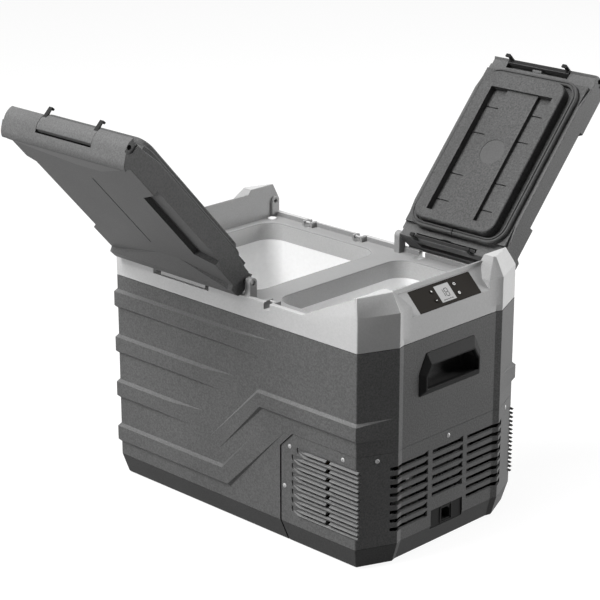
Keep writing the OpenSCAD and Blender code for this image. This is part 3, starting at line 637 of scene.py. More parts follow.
board_green = moulded("board_green", (0.02, 0.11, 0.045), 0.4, 0.15, 0.1, 0.8)
enamel = moulded("enamel", grey(0.02), 0.25, 0.1, 0.06)
foam = moulded("foam", (0.62, 0.52, 0.3), 0.9, 0.12, 0.5, 1.5)


# Case and base

def shifted(points, i, inward):
    """One corner of an anticlockwise outline, moved in so that both its sides move by as much."""
    before = (points[i] - points[i - 1]).normalized().orthogonal()
    after = (points[(i + 1) % len(points)] - points[i]).normalized().orthogonal()
    return points[i] + (before + after) * inward / (1 + before.dot(after))


def plan(inward=0.0):
    """Outline of the case from above, anticlockwise, moved inward on every side."""
    half = [(EDGE_X, -HALF_W), (HALF_L, -RIDGE_Y), (END_X, -FLAT_Y),
            (END_X, FLAT_Y), (HALF_L, RIDGE_Y), (EDGE_X, HALF_W)]
    sharp = vectors(half + [(-x, -y) for x, y in half])
    corners = [shifted(sharp, i, inward) for i in range(len(sharp))]
    return rounded(corners, [CORNER_R] * len(corners))


def on_face(x, z, out):
    """Point that stands out from the front face, carried round onto the chamfer past a corner."""
    front = Vector((0, -1))
    along = Vector((CORNER_X, CORNER_Y)).normalized()
    facing = Vector((along.y, -along.x))
    past = abs(x) - EDGE_X
    if past < 0:
        return (x, -HALF_W - out, z)
    point = Vector((EDGE_X, -HALF_W)) + along * past
    if past > 0:
        point += facing * out
    else:
        point += (front + facing) * out / (1 + front.dot(facing))
    return (math.copysign(point.x, x), point.y, z)


def offsets(line, side):
    """Mitred offset at each point of a line, to its right (1) or its left (-1)."""
    result = []
    for i in range(len(line)):
        start = max(i, 1)
        end = min(i + 1, len(line) - 1)
        before = line[start] - line[start - 1]
        after = line[end] - line[end - 1]
        n1 = Vector((before.y, -before.x)).normalized() * side
        n2 = Vector((after.y, -after.x)).normalized() * side
        result.append((n1 + n2) / (1 + n1.dot(n2)))
    return result


def band(upper, lower):
    """Raised band between two lines of four (x, z) points, with sloped sides; it fades at both ends."""
    upper = vectors(upper)
    lower = vectors(lower)
    depths = (0, BAND_D, BAND_D, 0)
    sink = WALL - 1
    rings = []
    for u, l, du, dl, depth in zip(upper, lower, offsets(upper, 1), offsets(lower, -1), depths):
        outline = [(u - du * sink, -sink), (u + du * depth, depth),
                   (l + dl * depth, depth), (l - dl * sink, -sink)]
        rings.append([on_face(p.x, p.y, out) for p, out in outline])
    return loft(rings)


def long_bands():
    """Three bands from round the left corner, each shorter than the one above."""
    result = []
    for i in range(3):
        top = BAND_TOP - i * BAND_PITCH
        end = -EDGE_X + BAND_L - BAND_STEP * i
        tail = end - BAND_TAIL
        upper = [(x, top) for x in (BAND_START, -EDGE_X, end - BAND_FADE, end)]
        lower = [(x, top - BAND_H) for x in (BAND_START, -EDGE_X, tail - BAND_FADE, tail)]
        result.append(band(upper, lower))
    return result


def turned_band():
    """Low band that turns up to the vent panel."""
    top = LOW_BAND_TOP
    turn = VENT_X - 4 * BAND_H
    rise = BAND_PITCH - 12
    upper = [(BAND_START, top), (-EDGE_X, top), (turn, top), (turn + rise, top + rise)]
    lower = [(x, top - BAND_H) for x in (BAND_START, -EDGE_X, turn + BAND_H / 2)]
    return band(upper, lower + [(VENT_X + 8, VENT_TOP)])


def falling_band():
    """Band from round the right corner that passes above the vent panel and then runs down."""
    high = BAND_TOP - BAND_PITCH - 7
    low = high - BAND_H + 2
    bend = VENT_X - 50
    fall = high - LOW_BAND_TOP - BAND_H
    end = EDGE_X + BAND_WRAP
    upper = [(bend - fall, high - fall), (bend, high), (EDGE_X, high), (end, high)]
    lower = [(bend - fall + 28, high - fall - 8), (bend + 8, low), (EDGE_X, low), (end, low)]
    return band(upper, lower)


def vent_outline(grow):
    """Outline of the vent panel on the front face, past the case's end on the right."""
    past = HALF_L + 10
    return [(VENT_X - grow, BASE_TOP - 1), (past, BASE_TOP - 1), (past, VENT_TOP + grow),
            (VENT_X + VENT_CUT, VENT_TOP + grow), (VENT_X - grow, VENT_TOP - VENT_CUT)]


def vent_groove():
    """Groove in the case along the vent panel's upright edge and cut corner."""
    outer = VENT_X - GROOVE_W
    points = [(outer, BASE_TOP - 1), (VENT_X, BASE_TOP - 1), (VENT_X, VENT_TOP - VENT_CUT),
              (VENT_X + VENT_CUT, VENT_TOP), (VENT_X + VENT_CUT - 2, VENT_TOP + 1.5),
              (outer, VENT_TOP - VENT_CUT + 1)]
    return prism("y", points, -HALF_W - BAND_D - 1, -HALF_W + GROOVE_D)


def handle_outline(low, top, wide, cut_z, cut_y):
    """Rounded outline as (y, z) with its upper corners cut off."""
    points = [(-wide, low), (wide, low), (wide, top - cut_z),
              (wide - cut_y, top), (cut_y - wide, top), (-wide, top - cut_z)]
    return rounded(points, [3] * 6, 3)


def cup_outline(grow):
    """Outline of a handle cup."""
    wide = HANDLE_W / 2 + grow
    return handle_outline(HANDLE_LOW - grow, HANDLE_TOP + grow, wide, cut_z=30, cut_y=15)


def mouth_outline(shrink):
    """Outline of the smaller mouth at the front of a handle cup's collar."""
    low = HANDLE_LOW + MOUTH_IN + shrink
    top = HANDLE_TOP - MOUTH_DROP - shrink
    return handle_outline(low, top, HANDLE_W / 2 - MOUTH_IN - shrink, cut_z=18, cut_y=12)


def case_shell():
    shell = prism("z", plan(), BASE_TOP, SEAM - 0.4)
    fuse(shell, *both("y", *long_bands(), turned_band(), falling_band()))
    cup = prism("x", cup_outline(0.3), END_X - HANDLE_D, HALF_L + 1)
    carve(
        shell,
        prism("z", plan(WALL), BASE_TOP - 1, SEAM + 1),
        prism("y", vent_outline(VENT_GAP), -HALF_W - 10, HALF_W + 10),
        *both("y", vent_groove()),
        *both("x", cup),
    )
    # Faces tilted upward get the lighter grey, a painted highlight
    tone(shell, case_plastic, case_painted_highlight, lambda face: 0.5 < face.normal.z < 0.95)
    piece(shell, "case_shell")


def base_groove():
    """The vent panel's groove where it runs on down the base."""
    outer = -HALF_W - 5
    rings = []
    for z, x, deep in ((BASE_TOP + 1, VENT_X, 0), (BASE_LOW - 1, VENT_X + 9, BASE_IN)):
        inner = -HALF_W + deep + GROOVE_D
        rings.append(ring([(x - GROOVE_W, outer), (x, outer), (x, inner), (x - GROOVE_W, inner)], z))
    return loft(rings)


def foot_places():
    return [(x, y) for x in (-FOOT_X, FOOT_X) for y in (-FOOT_Y, FOOT_Y)]


def base_pan():
    levels = ((BASE_IN + 1.5, BASE_LOW), (BASE_IN, BASE_LOW + 2),
              (0.2, BASE_TOP - 1), (0.8, BASE_TOP - 0.2))
    pan = loft([ring(plan(inward), z) for inward, z in levels])
    hollow = loft([ring(plan(BASE_IN + WALL), BASE_LOW + WALL), ring(plan(WALL + 6), BASE_TOP + 1)])
    seats = [rod("z", centre, FOOT_R + 0.3, -1, BASE_LOW + 1.5) for centre in foot_places()]
    carve(pan, hollow, inlet_room(), *seats, *both("y", base_groove()))
    piece(pan, "base_pan", base_plastic)


def rubber_feet():
    pattern = lathe([(10, 0), (12.5, 0.3), (13.5, 1.2), (13.2, 1.8), (FOOT_R, 2.2), (FOOT_R, 3.4)])
    pads = [copied(pattern, Matrix.Translation((x, y, 0))) for x, y in foot_places()]
    drop(pattern)
    piece(joined(pads), "rubber_feet", rubber)


def handle_cups():
    body = prism("x", cup_outline(0), END_X - HANDLE_D, END_X - 0.5)
    front = END_X + HANDLE_OUT
    lip = 0.6
    collar = loft([
        ring(cup_outline(0), END_X - 1, "x"),
        ring(cup_outline(0), END_X + 0.8, "x"),
        ring(mouth_outline(-lip), front - lip, "x"),
        ring(mouth_outline(lip), front, "x"),
    ])
    fuse(body, collar)
    back = END_X - HANDLE_D + WALL
    sides = ((14, 0), (11.5, 0.6), (9.5, 2), (8.3, 4.2), (8, 7), (8, HANDLE_D - WALL + 0.3))
    pocket = loft([ring(cup_outline(-inward), back + deep, "x") for inward, deep in sides])
    mouth = loft([
        ring(mouth_outline(3), END_X - 1, "x"),
        ring(mouth_outline(3), front - 1, "x"),
        ring(mouth_outline(1.6), front + 0.5, "x"),
    ])
    carve(body, pocket, mouth)
    # The pocket's inside faces get their own lighter grey, painted light; the cup is one black plastic
    tone(body, black_plastic, pocket_painted_light, lambda face: face.center.x < END_X)
    left = flipped(body, "x")
    piece(body, "right_handle_cup")
    piece(left, "left_handle_cup")


# Vent panel; bars of the louvres as (out, up) from the front face and the middle of a row

UPPER_BAR = [(-2.6, 5.9), (-1.7, 5.9), (1.9, 3.3), (1.9, 2.4), (-2.6, 1.9)]
UPPER_TIP = [(-2.6, 2.7), (-1.7, 2.7), (-1.4, 2.5), (-1.4, 2.2), (-2.6, 2.0)]
LOWER_BAR = [(-2.6, -1.6), (-1.7, -1.6), (1.3, -3.7), (1.3, -4.4), (-1.7, -5.3), (-2.6, -5.3)]
LOWER_TIP = [(-2.6, 1.2), (-1.7, 1.2), (-1.4, 1.0), (-1.4, 0.7), (-1.7, 0.5), (-2.6, 0.5)]


def louvre_bar(section, x0, x1, z, tip=None):
    """One bar of a louvre on the front face; its left end comes to a point where a tip is given."""
    stations = [(x0, section), (x1, section)]
    if tip:
        stations = [(x0, tip), (x0 + TIP_L, section), (x1, section)]
    return loft([[(x, -HALF_W - out, z + up) for out, up in points] for x, points in stations])


def front_louvres():
    """Recesses, bars and slots of the front louvres; a row has a split bar over a slot and a lower bar."""
    rib0 = LOUVRE_RIB - 4
    rib1 = LOUVRE_RIB + 4
    past = EDGE_X + 4.5
    recesses = []
    bars = []
    slots = []
    for i in range(LOUVRE_N):
        z = LOUVRE_LOW + i * LOUVRE_PITCH + LOUVRE_H / 2
        indent = 13 if i == LOUVRE_N - 1 else 2
        x0 = VENT_X + VENT_CUT + indent
        field = [(x0 - 6, z + 4.5), (x0 - 4, z - 0.5), (x0 + 9, z - 5.6),
                 (past + 2, z - 5.6), (past + 2, z + 8.9), (x0 - 6, z + 8.9)]
        recesses.append(prism("y", field, -HALF_W - 5, -HALF_W + FIELD_D))
        bars.append(louvre_bar(UPPER_BAR, x0 + 2, rib0, z, UPPER_TIP))
        bars.append(louvre_bar(UPPER_BAR, rib1, past, z))
        bars.append(louvre_bar(LOWER_BAR, x0 - 4, past, z, LOWER_TIP))
        slit = [(x0 + 6, z + 1.4), (x0 + 16, z - 1.3), (past + 4, z - 1.3),
                (past + 4, z + 1.8), (x0 + 16, z + 1.8)]
        slots.append(prism("y", slit, -HALF_W - 9, -HALF_W + 8))
        slots.append(block(rib0 + 0.2, rib1 - 0.2, -HALF_W - 8, -HALF_W + 7, z - 1.2, z + 6.2))
    return recesses, bars, slots


def end_louvres():
    """Slots in the end face in three columns, raised at the back; the middle one stops above the inlet."""
    outer = RIDGE_Y + 12
    cuts = []
    for i in range(LOUVRE_N):
        z = LOUVRE_LOW + i * LOUVRE_PITCH
        top = z + END_SLOT_H
        rise = z + END_SLOT_RISE
        floors = ((END_X - 14, rise), (END_X - WALL, rise), (END_X - 0.3, z), (HALF_L + 6, z))
        columns = [(-outer, -46), (46, outer)]
        if i > 1:
            columns.append((-36, 36))
        for y0, y1 in columns:
            upper = [(y1, z + 10.2), (y1 - 5, z + 9.2), (y1 - 9, top), (y0, top)]
            cuts.append(loft([ring([(y0, low), (y1, low), *upper], x, "x") for x, low in floors]))
    return cuts


def baffle():
    """Screen behind the slots of the back face, on a web from the rib between them."""
    screen = block(VENT_X + VENT_CUT, EDGE_X - 6, HALF_W - 14, HALF_W - 12.5, BASE_TOP + 6, VENT_TOP - 10)
    web = block(LOUVRE_RIB - 2, LOUVRE_RIB + 2, HALF_W - 13, HALF_W - WALL + 0.5,
                VENT_TOP - 16, VENT_TOP - 12)
    return fuse(soften(screen, 0.4, 2), web)


def inlet_room():
    """Cut-out for the plate of the supply inlet."""
    half_y = INLET_W / 2
    half_z = INLET_H / 2
    return block(INLET_X - INLET_T - 2, HALF_L + 1, -half_y - 0.4, half_y + 0.4,
                 INLET_Z - half_z - 0.4, INLET_Z + half_z + 0.4)


def is_bar_top(face):
    """Whether a face is the upper side of a louvre's bar on a long face; these sides get a painted
    highlight.
    """
    on_row = face.center.z < LOUVRE_LOW + LOUVRE_N * LOUVRE_PITCH and face.center.x > VENT_X + VENT_CUT
    return face.normal.z > 0.5 and abs(face.center.y) > HALF_W - 1.6 and on_row


def vent_panel():
    panel = prism("z", plan(), BASE_TOP, VENT_TOP)
    carve(panel, prism("z", plan(WALL), BASE_TOP - 1, VENT_TOP + 1))
    combine(panel, [prism("y", vent_outline(0), -HALF_W - 10, HALF_W + 10)], "INTERSECT")
    recesses, bars, slots = front_louvres()
    carve(panel, *both("y", *recesses))
    fuse(panel, *both("y", *bars))
    carve(panel, *both("y", *slots), *end_louvres(), inlet_room())
    fuse(panel, baffle())
    # Upper sides of the bars get the lighter grey, a painted highlight
    tone(panel, case_plastic, louvre_painted_highlight, is_bar_top)
    piece(panel, "vent_panel")


def screw_places():
    """Where the vent panel's screws sit, each with its own z pointing out of the surface."""
    tilt = math.atan2(CORNER_X, CORNER_Y)
    drop_z = VENT_TOP - 10
    to_right = Matrix.Rotation(math.pi / 2, 4, "Y")
    places = []
    for side in (-1, 1):
        out = Matrix.Rotation(-side * math.pi / 2, 4, "X")
        for x, z in ((VENT_X + 18, VENT_TOP - 21), (VENT_X + 130, drop_z), (VENT_X + 7, VENT_TOP - 90)):
            places.append(Matrix.Translation((x, side * HALF_W, z)) @ out)
        middle = Matrix.Translation((HALF_L - CORNER_X / 2, side * (HALF_W - CORNER_Y / 2), drop_z))
        places.append(middle @ Matrix.Rotation(side * tilt, 4, "Z") @ to_right)
    places.append(Matrix.Translation((END_X, 0, drop_z)) @ to_right)
    return places


def vent_screws():
    pattern = lathe([(2, -8), (2, -0.1), (3.6, 0), (3.5, 0.5), (2.8, 1), (1.2, 1.3)], 28)
    carve(pattern, slab(2.2, 0.4, 0.5, 2), slab(0.4, 2.2, 0.5, 2))
    screws = [copied(pattern, matrix) for matrix in screw_places()]
    drop(pattern)
    piece(joined(screws), "vent_screws", screw_steel)


def inlet_outline(half_y, half_z, radius):
    return box_outline(-half_y, half_y, INLET_Z - half_z, INLET_Z + half_z, radius)


def inlet_plate():
    half = SOCKET_W / 2
    plate = prism("x", inlet_outline(INLET_W / 2, INLET_H / 2, 2), INLET_X - INLET_T, INLET_X)
    rim = prism("x", inlet_outline(half + 3, half + 1.5, 3), INLET_X - 1, INLET_X + 1)
    fuse(soften(plate, 0.8), soften(rim, 0.6))
    carve(plate, block(INLET_X - INLET_T - 1, HALF_L, -half, half, INLET_Z - half, INLET_Z + half))
    piece(plate, "inlet_plate", black_plastic)


def power_inlet():
    outer = SOCKET_W / 2 - 0.3
    inner = outer - 2
    key = 5
    back = INLET_X - SOCKET_D
    low = INLET_Z - inner
    high = INLET_Z + inner
    socket = block(back, INLET_X - 0.3, -outer, outer, INLET_Z - outer, INLET_Z + outer)
    room = [(-inner, low), (inner, low), (inner, high - key), (inner - key, high), (-inner, high)]
    carve(socket, prism("x", rounded(room, [1] * 5, 2), back + 2, INLET_X + 1))
    pins = [soften(rod("x", (y, INLET_Z), 1.5, back + 1, back + 16, 20), 0.5) for y in (-4, 4)]
    fuse(socket, *pins)
    piece(socket, "power_inlet", black_plastic)


# Upper rim

def tower(lean, corner):
    """Front right corner tower; lean is that of its front face, corner its chamfer's upper front end."""
    inner = FLAT_Y - 18
    edge = 0.8
    radii = [0, CORNER_R, CORNER_R, 0, 0, 0]
    low = [(BLOCK_X, -HALF_W), (EDGE_X, -HALF_W), (HALF_L, -RIDGE_Y),
           (END_X, -FLAT_Y), (END_X, -inner), (BLOCK_X, -inner)]
    high = vectors([(BLOCK_X, lean - HALF_W), corner, (HALF_L - 15.9, -RIDGE_Y - 0.5),
                    (END_X - 14, -FLAT_Y - 10.5), (END_X - 14.9, -FLAT_Y - 7.5), (BLOCK_X, -FLAT_Y - 7.5)])
    cap = [shifted(high, i, edge) for i in range(len(high))]
    low = rounded(low, radii)
    high = rounded(high, [r / 10 for r in radii])
    cap = rounded(cap, [r / 20 for r in radii])
    return loft([ring(low, SEAM + 10), ring(low, HIP), ring(high, TOWER_TOP - edge), ring(cap, TOWER_TOP)])


def towers():
    """The four corner towers; the front right one leans less, because the cheek rises to it."""
    plain = tower(HIP_IN, (BLOCK_X + 3.5, -HALF_W + HIP_IN + 2.8))
    cheeked = tower(4.6, (BLOCK_X + 3.5, -HALF_W + 4.8))
    others = [flipped(plain, axes) for axes in ("x", "y", "xy")]
    drop(plain)
    return [cheeked, *others]


def saddle():
    """Middle of an end block, with the slope that holds the control panel."""
    foot = SLOPE_Z - (END_X - SLOPE_X)
    crest = BLOCK_X + 4
    inner = BLOCK_X + CLEAR
    outer = END_X - CLEAR
    points = [(inner, SEAM + 10), (outer, SEAM + 10), (outer, foot), (crest, SLOPE_Z + SLOPE_X - crest),
              (crest - 1, SADDLE_TOP), (inner, SADDLE_TOP)]
    return prism("y", points, -FLAT_Y - 5, FLAT_Y + 5)


def cheek():
    """Wall that rises along the front to the right tower."""
    inner = LID_E + LID_GAP + 0.3
    low = DECK - 4
    top = TOWER_TOP - 0.6
    face = CLEAR - HALF_W
    start = [(face, low), (face, RIM_TOP - 1.5), (face + 0.6, RIM_TOP - 0.2),
             (-inner, RIM_TOP - 0.2), (-inner, low)]
    end = [(face, low), (face, HIP), (-inner - 1, top), (-inner, top), (-inner, low)]
    return loft([ring(start, BLOCK_X - CHEEK_L, "x"), ring(end, BLOCK_X + 1.5, "x")])


def arch(radius, foot, steps):
    """Outline as (y, z) with a round head about the hinge axis at the front, down to a foot."""
    head = arc((-AXIS_E, AXIS_Z), radius, 0, 180, steps)
    return head + [(-AXIS_E - radius, foot), (-AXIS_E + radius, foot)]


def hinge_post(x0, x1, edge):
    """Post at the front edge that has a pin's bore."""
    return soften(prism("x", arch(BOSS_R, DECK - 4, 14), x0, x1), edge)


def end_posts():
    """Posts before the towers at the free edges of the lids, at the front right and the back left."""
    post = hinge_post(BLOCK_X - POST_T, BLOCK_X + 4, 0.7)
    return [post, flipped(post, "xy")]


def pin_bores():
    """Bores of the hinge pins in the towers, posts and tab of the front edge."""
    spans = ((-BLOCK_X - PIN_OUT - 1, -BLOCK_X + POST_T + 1), (DIVIDER_X - TAB_W, DIVIDER_X + TAB_W),
             (BLOCK_X - POST_T - 1, BLOCK_X + PIN_OUT + 1))
    return [rod("x", (-AXIS_E, AXIS_Z), PIN_R + CLEAR, x0, x1) for x0, x1 in spans]


def latch_seat(x, cheeked=False):
    """Slots for the hooks of one latch in the front wall, and its finger recess where no cheek rises."""
    cuts = []
    if not cheeked:
        cuts.append(block(x - HOOK_X, x + HOOK_X, -HALF_W - 1, -HALF_W + RECESS_D, SLOT_Z, RIM_TOP + 1))
    for side in (-1, 1):
        out = HALF_W - 1.6 if cheeked and side > 0 else HALF_W + 1
        middle = x + side * HOOK_X
        cuts.append(block(middle - SLOT_W / 2, middle + SLOT_W / 2, -out, -SLOT_IN, SLOT_Z, LID_LOW + 2))
    return cuts


def keeper_seats(x):
    """Blocks behind the front wall that carry a latch's keeper bars, and the bores of the bars."""
    reach = SLOT_W / 2 + KEEPER_WALL
    half = SLOT_W / 2 + 3
    blocks = []
    bores = []
    for side in (-1, 1):
        middle = x + side * HOOK_X
        seat = block(middle - reach, middle + reach, -HALF_W + RIM_WALL - 3, -KEEPER_E + KEEPER_WALL,
                     DECK - 3, KEEPER_Z + KEEPER_UP)
        blocks.append(soften(seat, 0.6))
        bores.append(rod("x", (-KEEPER_E, KEEPER_Z), 2, middle - half, middle + half, 24))
    return blocks, bores


def panel_room():
    """Cut-outs in the slope for the control panel, and for the board behind it."""
    half_h = PANEL_H / 2
    half_w = PANEL_W / 2
    cavity = slab(half_h + 0.3, half_w + 0.3, PANEL_PROUD - PANEL_T, 20)
    well = slab(half_h - 5.5, half_w - 8, -11.9, 0)
    return [moved(cavity, ON_SLOPE), moved(well, ON_SLOPE)]


def is_inner(face):
    """Whether a face of the rim takes the darker grey of painted shade: round the compartments and round
    the control panel.
    """
    place_x = abs(face.center.x)
    place_y = abs(face.center.y)
    if place_x < BLOCK_X + 1:
        return place_y < HALF_W - RIM_WALL + 0.5 and face.center.z > DECK - 1
    return place_y < FLAT_Y + 10 and face.normal.z > 0.2


def upper_rim():
    rim = prism("z", plan(2 * CLEAR), SEAM, RIM_TOP)
    carve(rim, prism("z", plan(RIM_WALL), SEAM - 1, RIM_TOP + 1))
    soften(rim, 1.2, 3, 40)
    deck = prism("z", plan(RIM_WALL - 3), DECK - DECK_T, DECK)
    tab = hinge_post(DIVIDER_X - TAB_W / 2, DIVIDER_X + TAB_W / 2, 1.2)
    left_blocks, left_bores = keeper_seats(LATCH_X["left"])
    right_blocks, right_bores = keeper_seats(LATCH_X["right"])
    rear_blocks = [moved(obj, mirror("y")) for obj in left_blocks]
    fuse(rim, deck, *towers(), *both("x", saddle()), cheek(), *both("y", tab), *end_posts(),
         *rear_blocks, *right_blocks)
    openings = [loft([pad(opening, TUB_WALL, SEAM), pad(opening, TUB_WALL, DECK + 1)])
                for opening in OPENINGS.values()]
    carve(rim, *openings)
    rear_cuts = [moved(obj, mirror("y")) for obj in (*latch_seat(LATCH_X["right"]), *left_bores)]
    carve(rim, *both("y", *latch_seat(LATCH_X["left"]), *pin_bores()), *latch_seat(LATCH_X["right"], True),
          *rear_cuts, *right_bores, *panel_room())
    # Faces round the compartments and the control panel get the darker grey, a painted shade
    tone(rim, rim_plastic, deck_painted_shade, is_inner)
    piece(rim, "upper_rim", smooth=20)


# Compartments

def pad(opening, grow, z, radius=OPEN_R):
    """Rounded outline of a compartment at one height, grown on every side."""
    x0, x1 = opening
    deep = OPEN_Y + grow
    return ring(box_outline(x0 - grow, x1 + grow, -deep, deep, radius + grow, 8), z)


def throats():
    profile = [(TUB_WALL, THROAT_LOW), (TUB_WALL, DECK - 0.1), (1.6, DECK),
               (0.5, DECK - 0.5), (0, DECK - 1.6), (0, THROAT_LOW)]
    for side, opening in OPENINGS.items():
        collar = loft([pad(opening, grow, z) for grow, z in profile], closed=True)
        # The throat's top takes the deck's darker grey, a painted shade
        tone(collar, throat_plastic, deck_painted_shade, lambda face: face.center.z > DECK - 1.2)
        piece(collar, side + "_throat")


def tubs():
    bend = 14
    top = THROAT_LOW - 0.2
    for side, opening in OPENINGS.items():
        bottom = limits(side + "_tub")[0].z + TUB_WALL
        outside = [(TUB_WALL - 10, bottom - TUB_WALL), (TUB_WALL, bottom + 7), (TUB_WALL, top), (0, top)]
        inside = arc((-bend, bottom + bend), bend, 0, -90, 6)
        tub = loft([pad(opening, grow, z) for grow, z in outside + inside])
        piece(tub, side + "_tub", tub_plastic, smooth=40)


def cabin_lamp():
    low, high = limits("cabin_lamp")
    radius = (high.x - low.x) / 2
    steps = ((0, 0), (0, 1.2), (0.7, 1.8), (1.6, 1.9), (2, 2.3), (4, 2.8))
    lens = lathe([(radius - inward, z) for inward, z in steps] + [(0.6, 3)])
    moved(lens, Matrix.Translation(((low.x + high.x) / 2, (low.y + high.y) / 2, low.z)))
    piece(lens, "cabin_lamp", lamp_lens)


# Control panel, drawn flat and then turned onto its slope

SWITCHES = {
    "plus": (-SWITCH_X, -SWITCH_Y),
    "minus": (SWITCH_X, -SWITCH_Y),
    "power": (-SWITCH_X, SWITCH_Y),
    "set": (SWITCH_X, SWITCH_Y),
}

# Bars of a digit as (x, y, along x, along y) in half digit heights, by letter
DIGIT_BARS = {"a": (-1, 0, 0, 1), "b": (-0.5, 0.5, 1, 0), "c": (0.5, 0.5, 1, 0), "d": (1, 0, 0, 1),
              "e": (0.5, -0.5, 1, 0), "f": (-0.5, -0.5, 1, 0), "g": (0, 0, 0, 1)}


def control_panel():
    half_h = PANEL_H / 2
    half_w = PANEL_W / 2
    outline = box_outline(-half_h, half_h, -half_w, half_w, 1.5)
    bezel = soften(prism("z", outline, PANEL_PROUD - PANEL_T, PANEL_PROUD), 0.4)
    holes = [rod("z", centre, BUTTON_R + 0.3, -PANEL_T - 1, PANEL_T) for centre in SWITCHES.values()]
    window = slab(DISPLAY_H / 2, DISPLAY_W / 2, -PANEL_PROUD, PANEL_T)
    carve(bezel, window, *holes)
    piece(bezel, "control_bezel", panel_film, turn=ON_SLOPE)


def mark(x, y, half_x, half_y, surface):
    """Printed bar that stands a little out of a surface."""
    return slab(half_x, half_y, surface - MARK_IN, surface + MARK_OUT, x, y)


def digit(bars, y, size):
    """Lit bars of one digit on the display, read from the control end."""
    long_side = size * 0.42
    short_side = size * 0.1
    result = []
    for name in bars:
        bar_x, bar_y, along_x, along_y = DIGIT_BARS[name]
        half_x = long_side if along_x else short_side
        half_y = long_side if along_y else short_side
        result.append(mark(bar_x * size, y + bar_y * size, half_x, half_y, DISPLAY_TOP))
    return result


def two_tone(base, marks, base_material, mark_material):
    """Adds marks of a second material to a piece."""
    paint(base, base_material, mark_material)
    bm = bmesh.new()
    bm.from_mesh(base.data)
    count = len(bm.faces)
    for part in marks:
        bm.from_mesh(part.data)
        drop(part)
    bm.faces.ensure_lookup_table()
    for face in bm.faces[count:]:
        face.material_index = 1
    bm.to_mesh(base.data)
    bm.free()


def display():
    glass = soften(slab(DISPLAY_H / 2, DISPLAY_W / 2, -PANEL_PROUD, DISPLAY_TOP), 0.25, 2)
    bars = digit("bc", -6, DIGIT_SIZE) + digit("abcdefg", 4, DIGIT_SIZE)
    bars += [mark(11.25, y, 0.75, 1.6, DISPLAY_TOP) for y in (-9, -4.5, 0, 4.5, 9)]
    two_tone(glass, bars, display_glass, display_ink)
    piece(glass, "display_window", turn=ON_SLOPE)


def symbol(name, x, y):
    """Printed mark on a button: a plus, a minus, a ring with a bar, or a ring with a dot."""
    low = BUTTON_OUT - MARK_IN
    high = BUTTON_OUT + MARK_OUT
    if name == "minus":
        return [mark(x, y, 0.4, 1.7, BUTTON_OUT)]
    if name == "plus":
        upright = slab(1.7, 0.4, low - 0.01, high, x, y)
        return [fuse(mark(x, y, 0.4, 1.7, BUTTON_OUT), upright)]
    outline = carve(rod("z", (x, y), 2.5, low, high), rod("z", (x, y), 1.7, low - 1, high + 1))
    if name == "power":
        carve(outline, block(x - 3, x, y - 0.9, y + 0.9, low - 1, high + 1))
        return [outline, block(x - 2.6, x - 0.4, y - 0.35, y + 0.35, low, high)]
    return [outline, rod("z", (x, y), 0.7, low, high, 16)]


def buttons():
    for name, (x, y) in SWITCHES.items():
        cap = soften(rod("z", (x, y), BUTTON_R, BUTTON_LOW, BUTTON_OUT), 0.5)
        two_tone(cap, symbol(name, x, y), panel_film, white_print)
        node = name + "_button"
        piece(cap, node, body=node, turn=ON_SLOPE)


# Lids, drawn closed with the hinge on the side of the given sign, and then swung open

SIDES = {"left": -1, "right": 1}

EDGE_CURVE = vectors([
    (LID_E - 2, LID_LOW + 4), (LID_E, LID_LOW + 12.25), (LID_E - 0.5, LID_LOW + 21),
    (LID_E - 4, LID_LOW + 29.4), (LID_E - 12.5, TOWER_TOP - 6.5), (RIDGE_E + 4, TOWER_TOP - 1.2),
    (RIDGE_E, TOWER_TOP)])

HINGE_FOOT = [(LID_E - 2, LID_LOW + 4), (LID_E, LID_LOW + 12.25), (LID_E + 0.3, LID_LOW + 24)]

HINGE_CURVE = {
    "left": vectors(HINGE_FOOT + [
        (LID_E - 0.2, TOWER_TOP - 11), (LID_E - 2.2, TOWER_TOP - 5), (LID_E - 7, TOWER_TOP - 1.4),
        (RIDGE_E, TOWER_TOP)]),
    "right": vectors(HINGE_FOOT + [
        (LID_E + 0.1, TOWER_TOP - 11), (LID_E + 0.1, TOWER_TOP - 7.5), (LID_E + 2.4, TOWER_TOP - 4),
        (LID_E + 1.2, TOWER_TOP - 1.4), (LID_E - 5, TOWER_TOP - 0.3), (RIDGE_E, TOWER_TOP)]),
}


def swing(side):
    hinge = SIDES[side]
    pivot = Matrix.Translation((0, hinge * AXIS_E, AXIS_Z))
    return pivot @ Matrix.Rotation(math.radians(-hinge * OPEN_ANGLE), 4, "X") @ pivot.inverted()


def lid_piece(obj, side, name, material=None, smooth=30):
    """Finishes a piece of a lid, swung open with it."""
    piece(obj, side + "_lid_" + name, material, side + "_lid", swing(side), smooth)


def lid_section(side):
    """Outline of a closed lid as (y, z); its hinge edge is fuller, with a lip on the right lid."""
    halves = []
    for sign in (1, -1):
        line = HINGE_CURVE[side] if sign == SIDES[side] else EDGE_CURVE
        half = vectors([(LID_E - 66, LID_LOW), (LID_E - 24, LID_LOW + 7), (LID_E - 6, LID_LOW + 7)])
        half += curve(line, 8) + [Vector((RIDGE_E - 3.5, ROOF))]
        halves.append([Vector((sign * p.x, p.y)) for p in half])
    return halves[0] + halves[1][::-1]


def brow(x0, x1, inner0, inner1):
    """Shallow facet that rises from the top to the ridge of the long edge at +Y."""
    e0 = RIDGE_E - 40
    e1 = RIDGE_E - 0.5
    ridge = TOWER_TOP - 0.3
    foot = ROOF + 0.05
    low = [(x0, e1), (x1, e1), (inner1, e0), (inner0, e0)]
    high = [(x0 + 6, e1, ridge), (x1 - 6, e1, ridge),
            (inner1 - 1, e0 + 1, foot), (inner0 + 1, e0 + 1, foot)]
    return loft([ring(low, ROOF - 1), high])


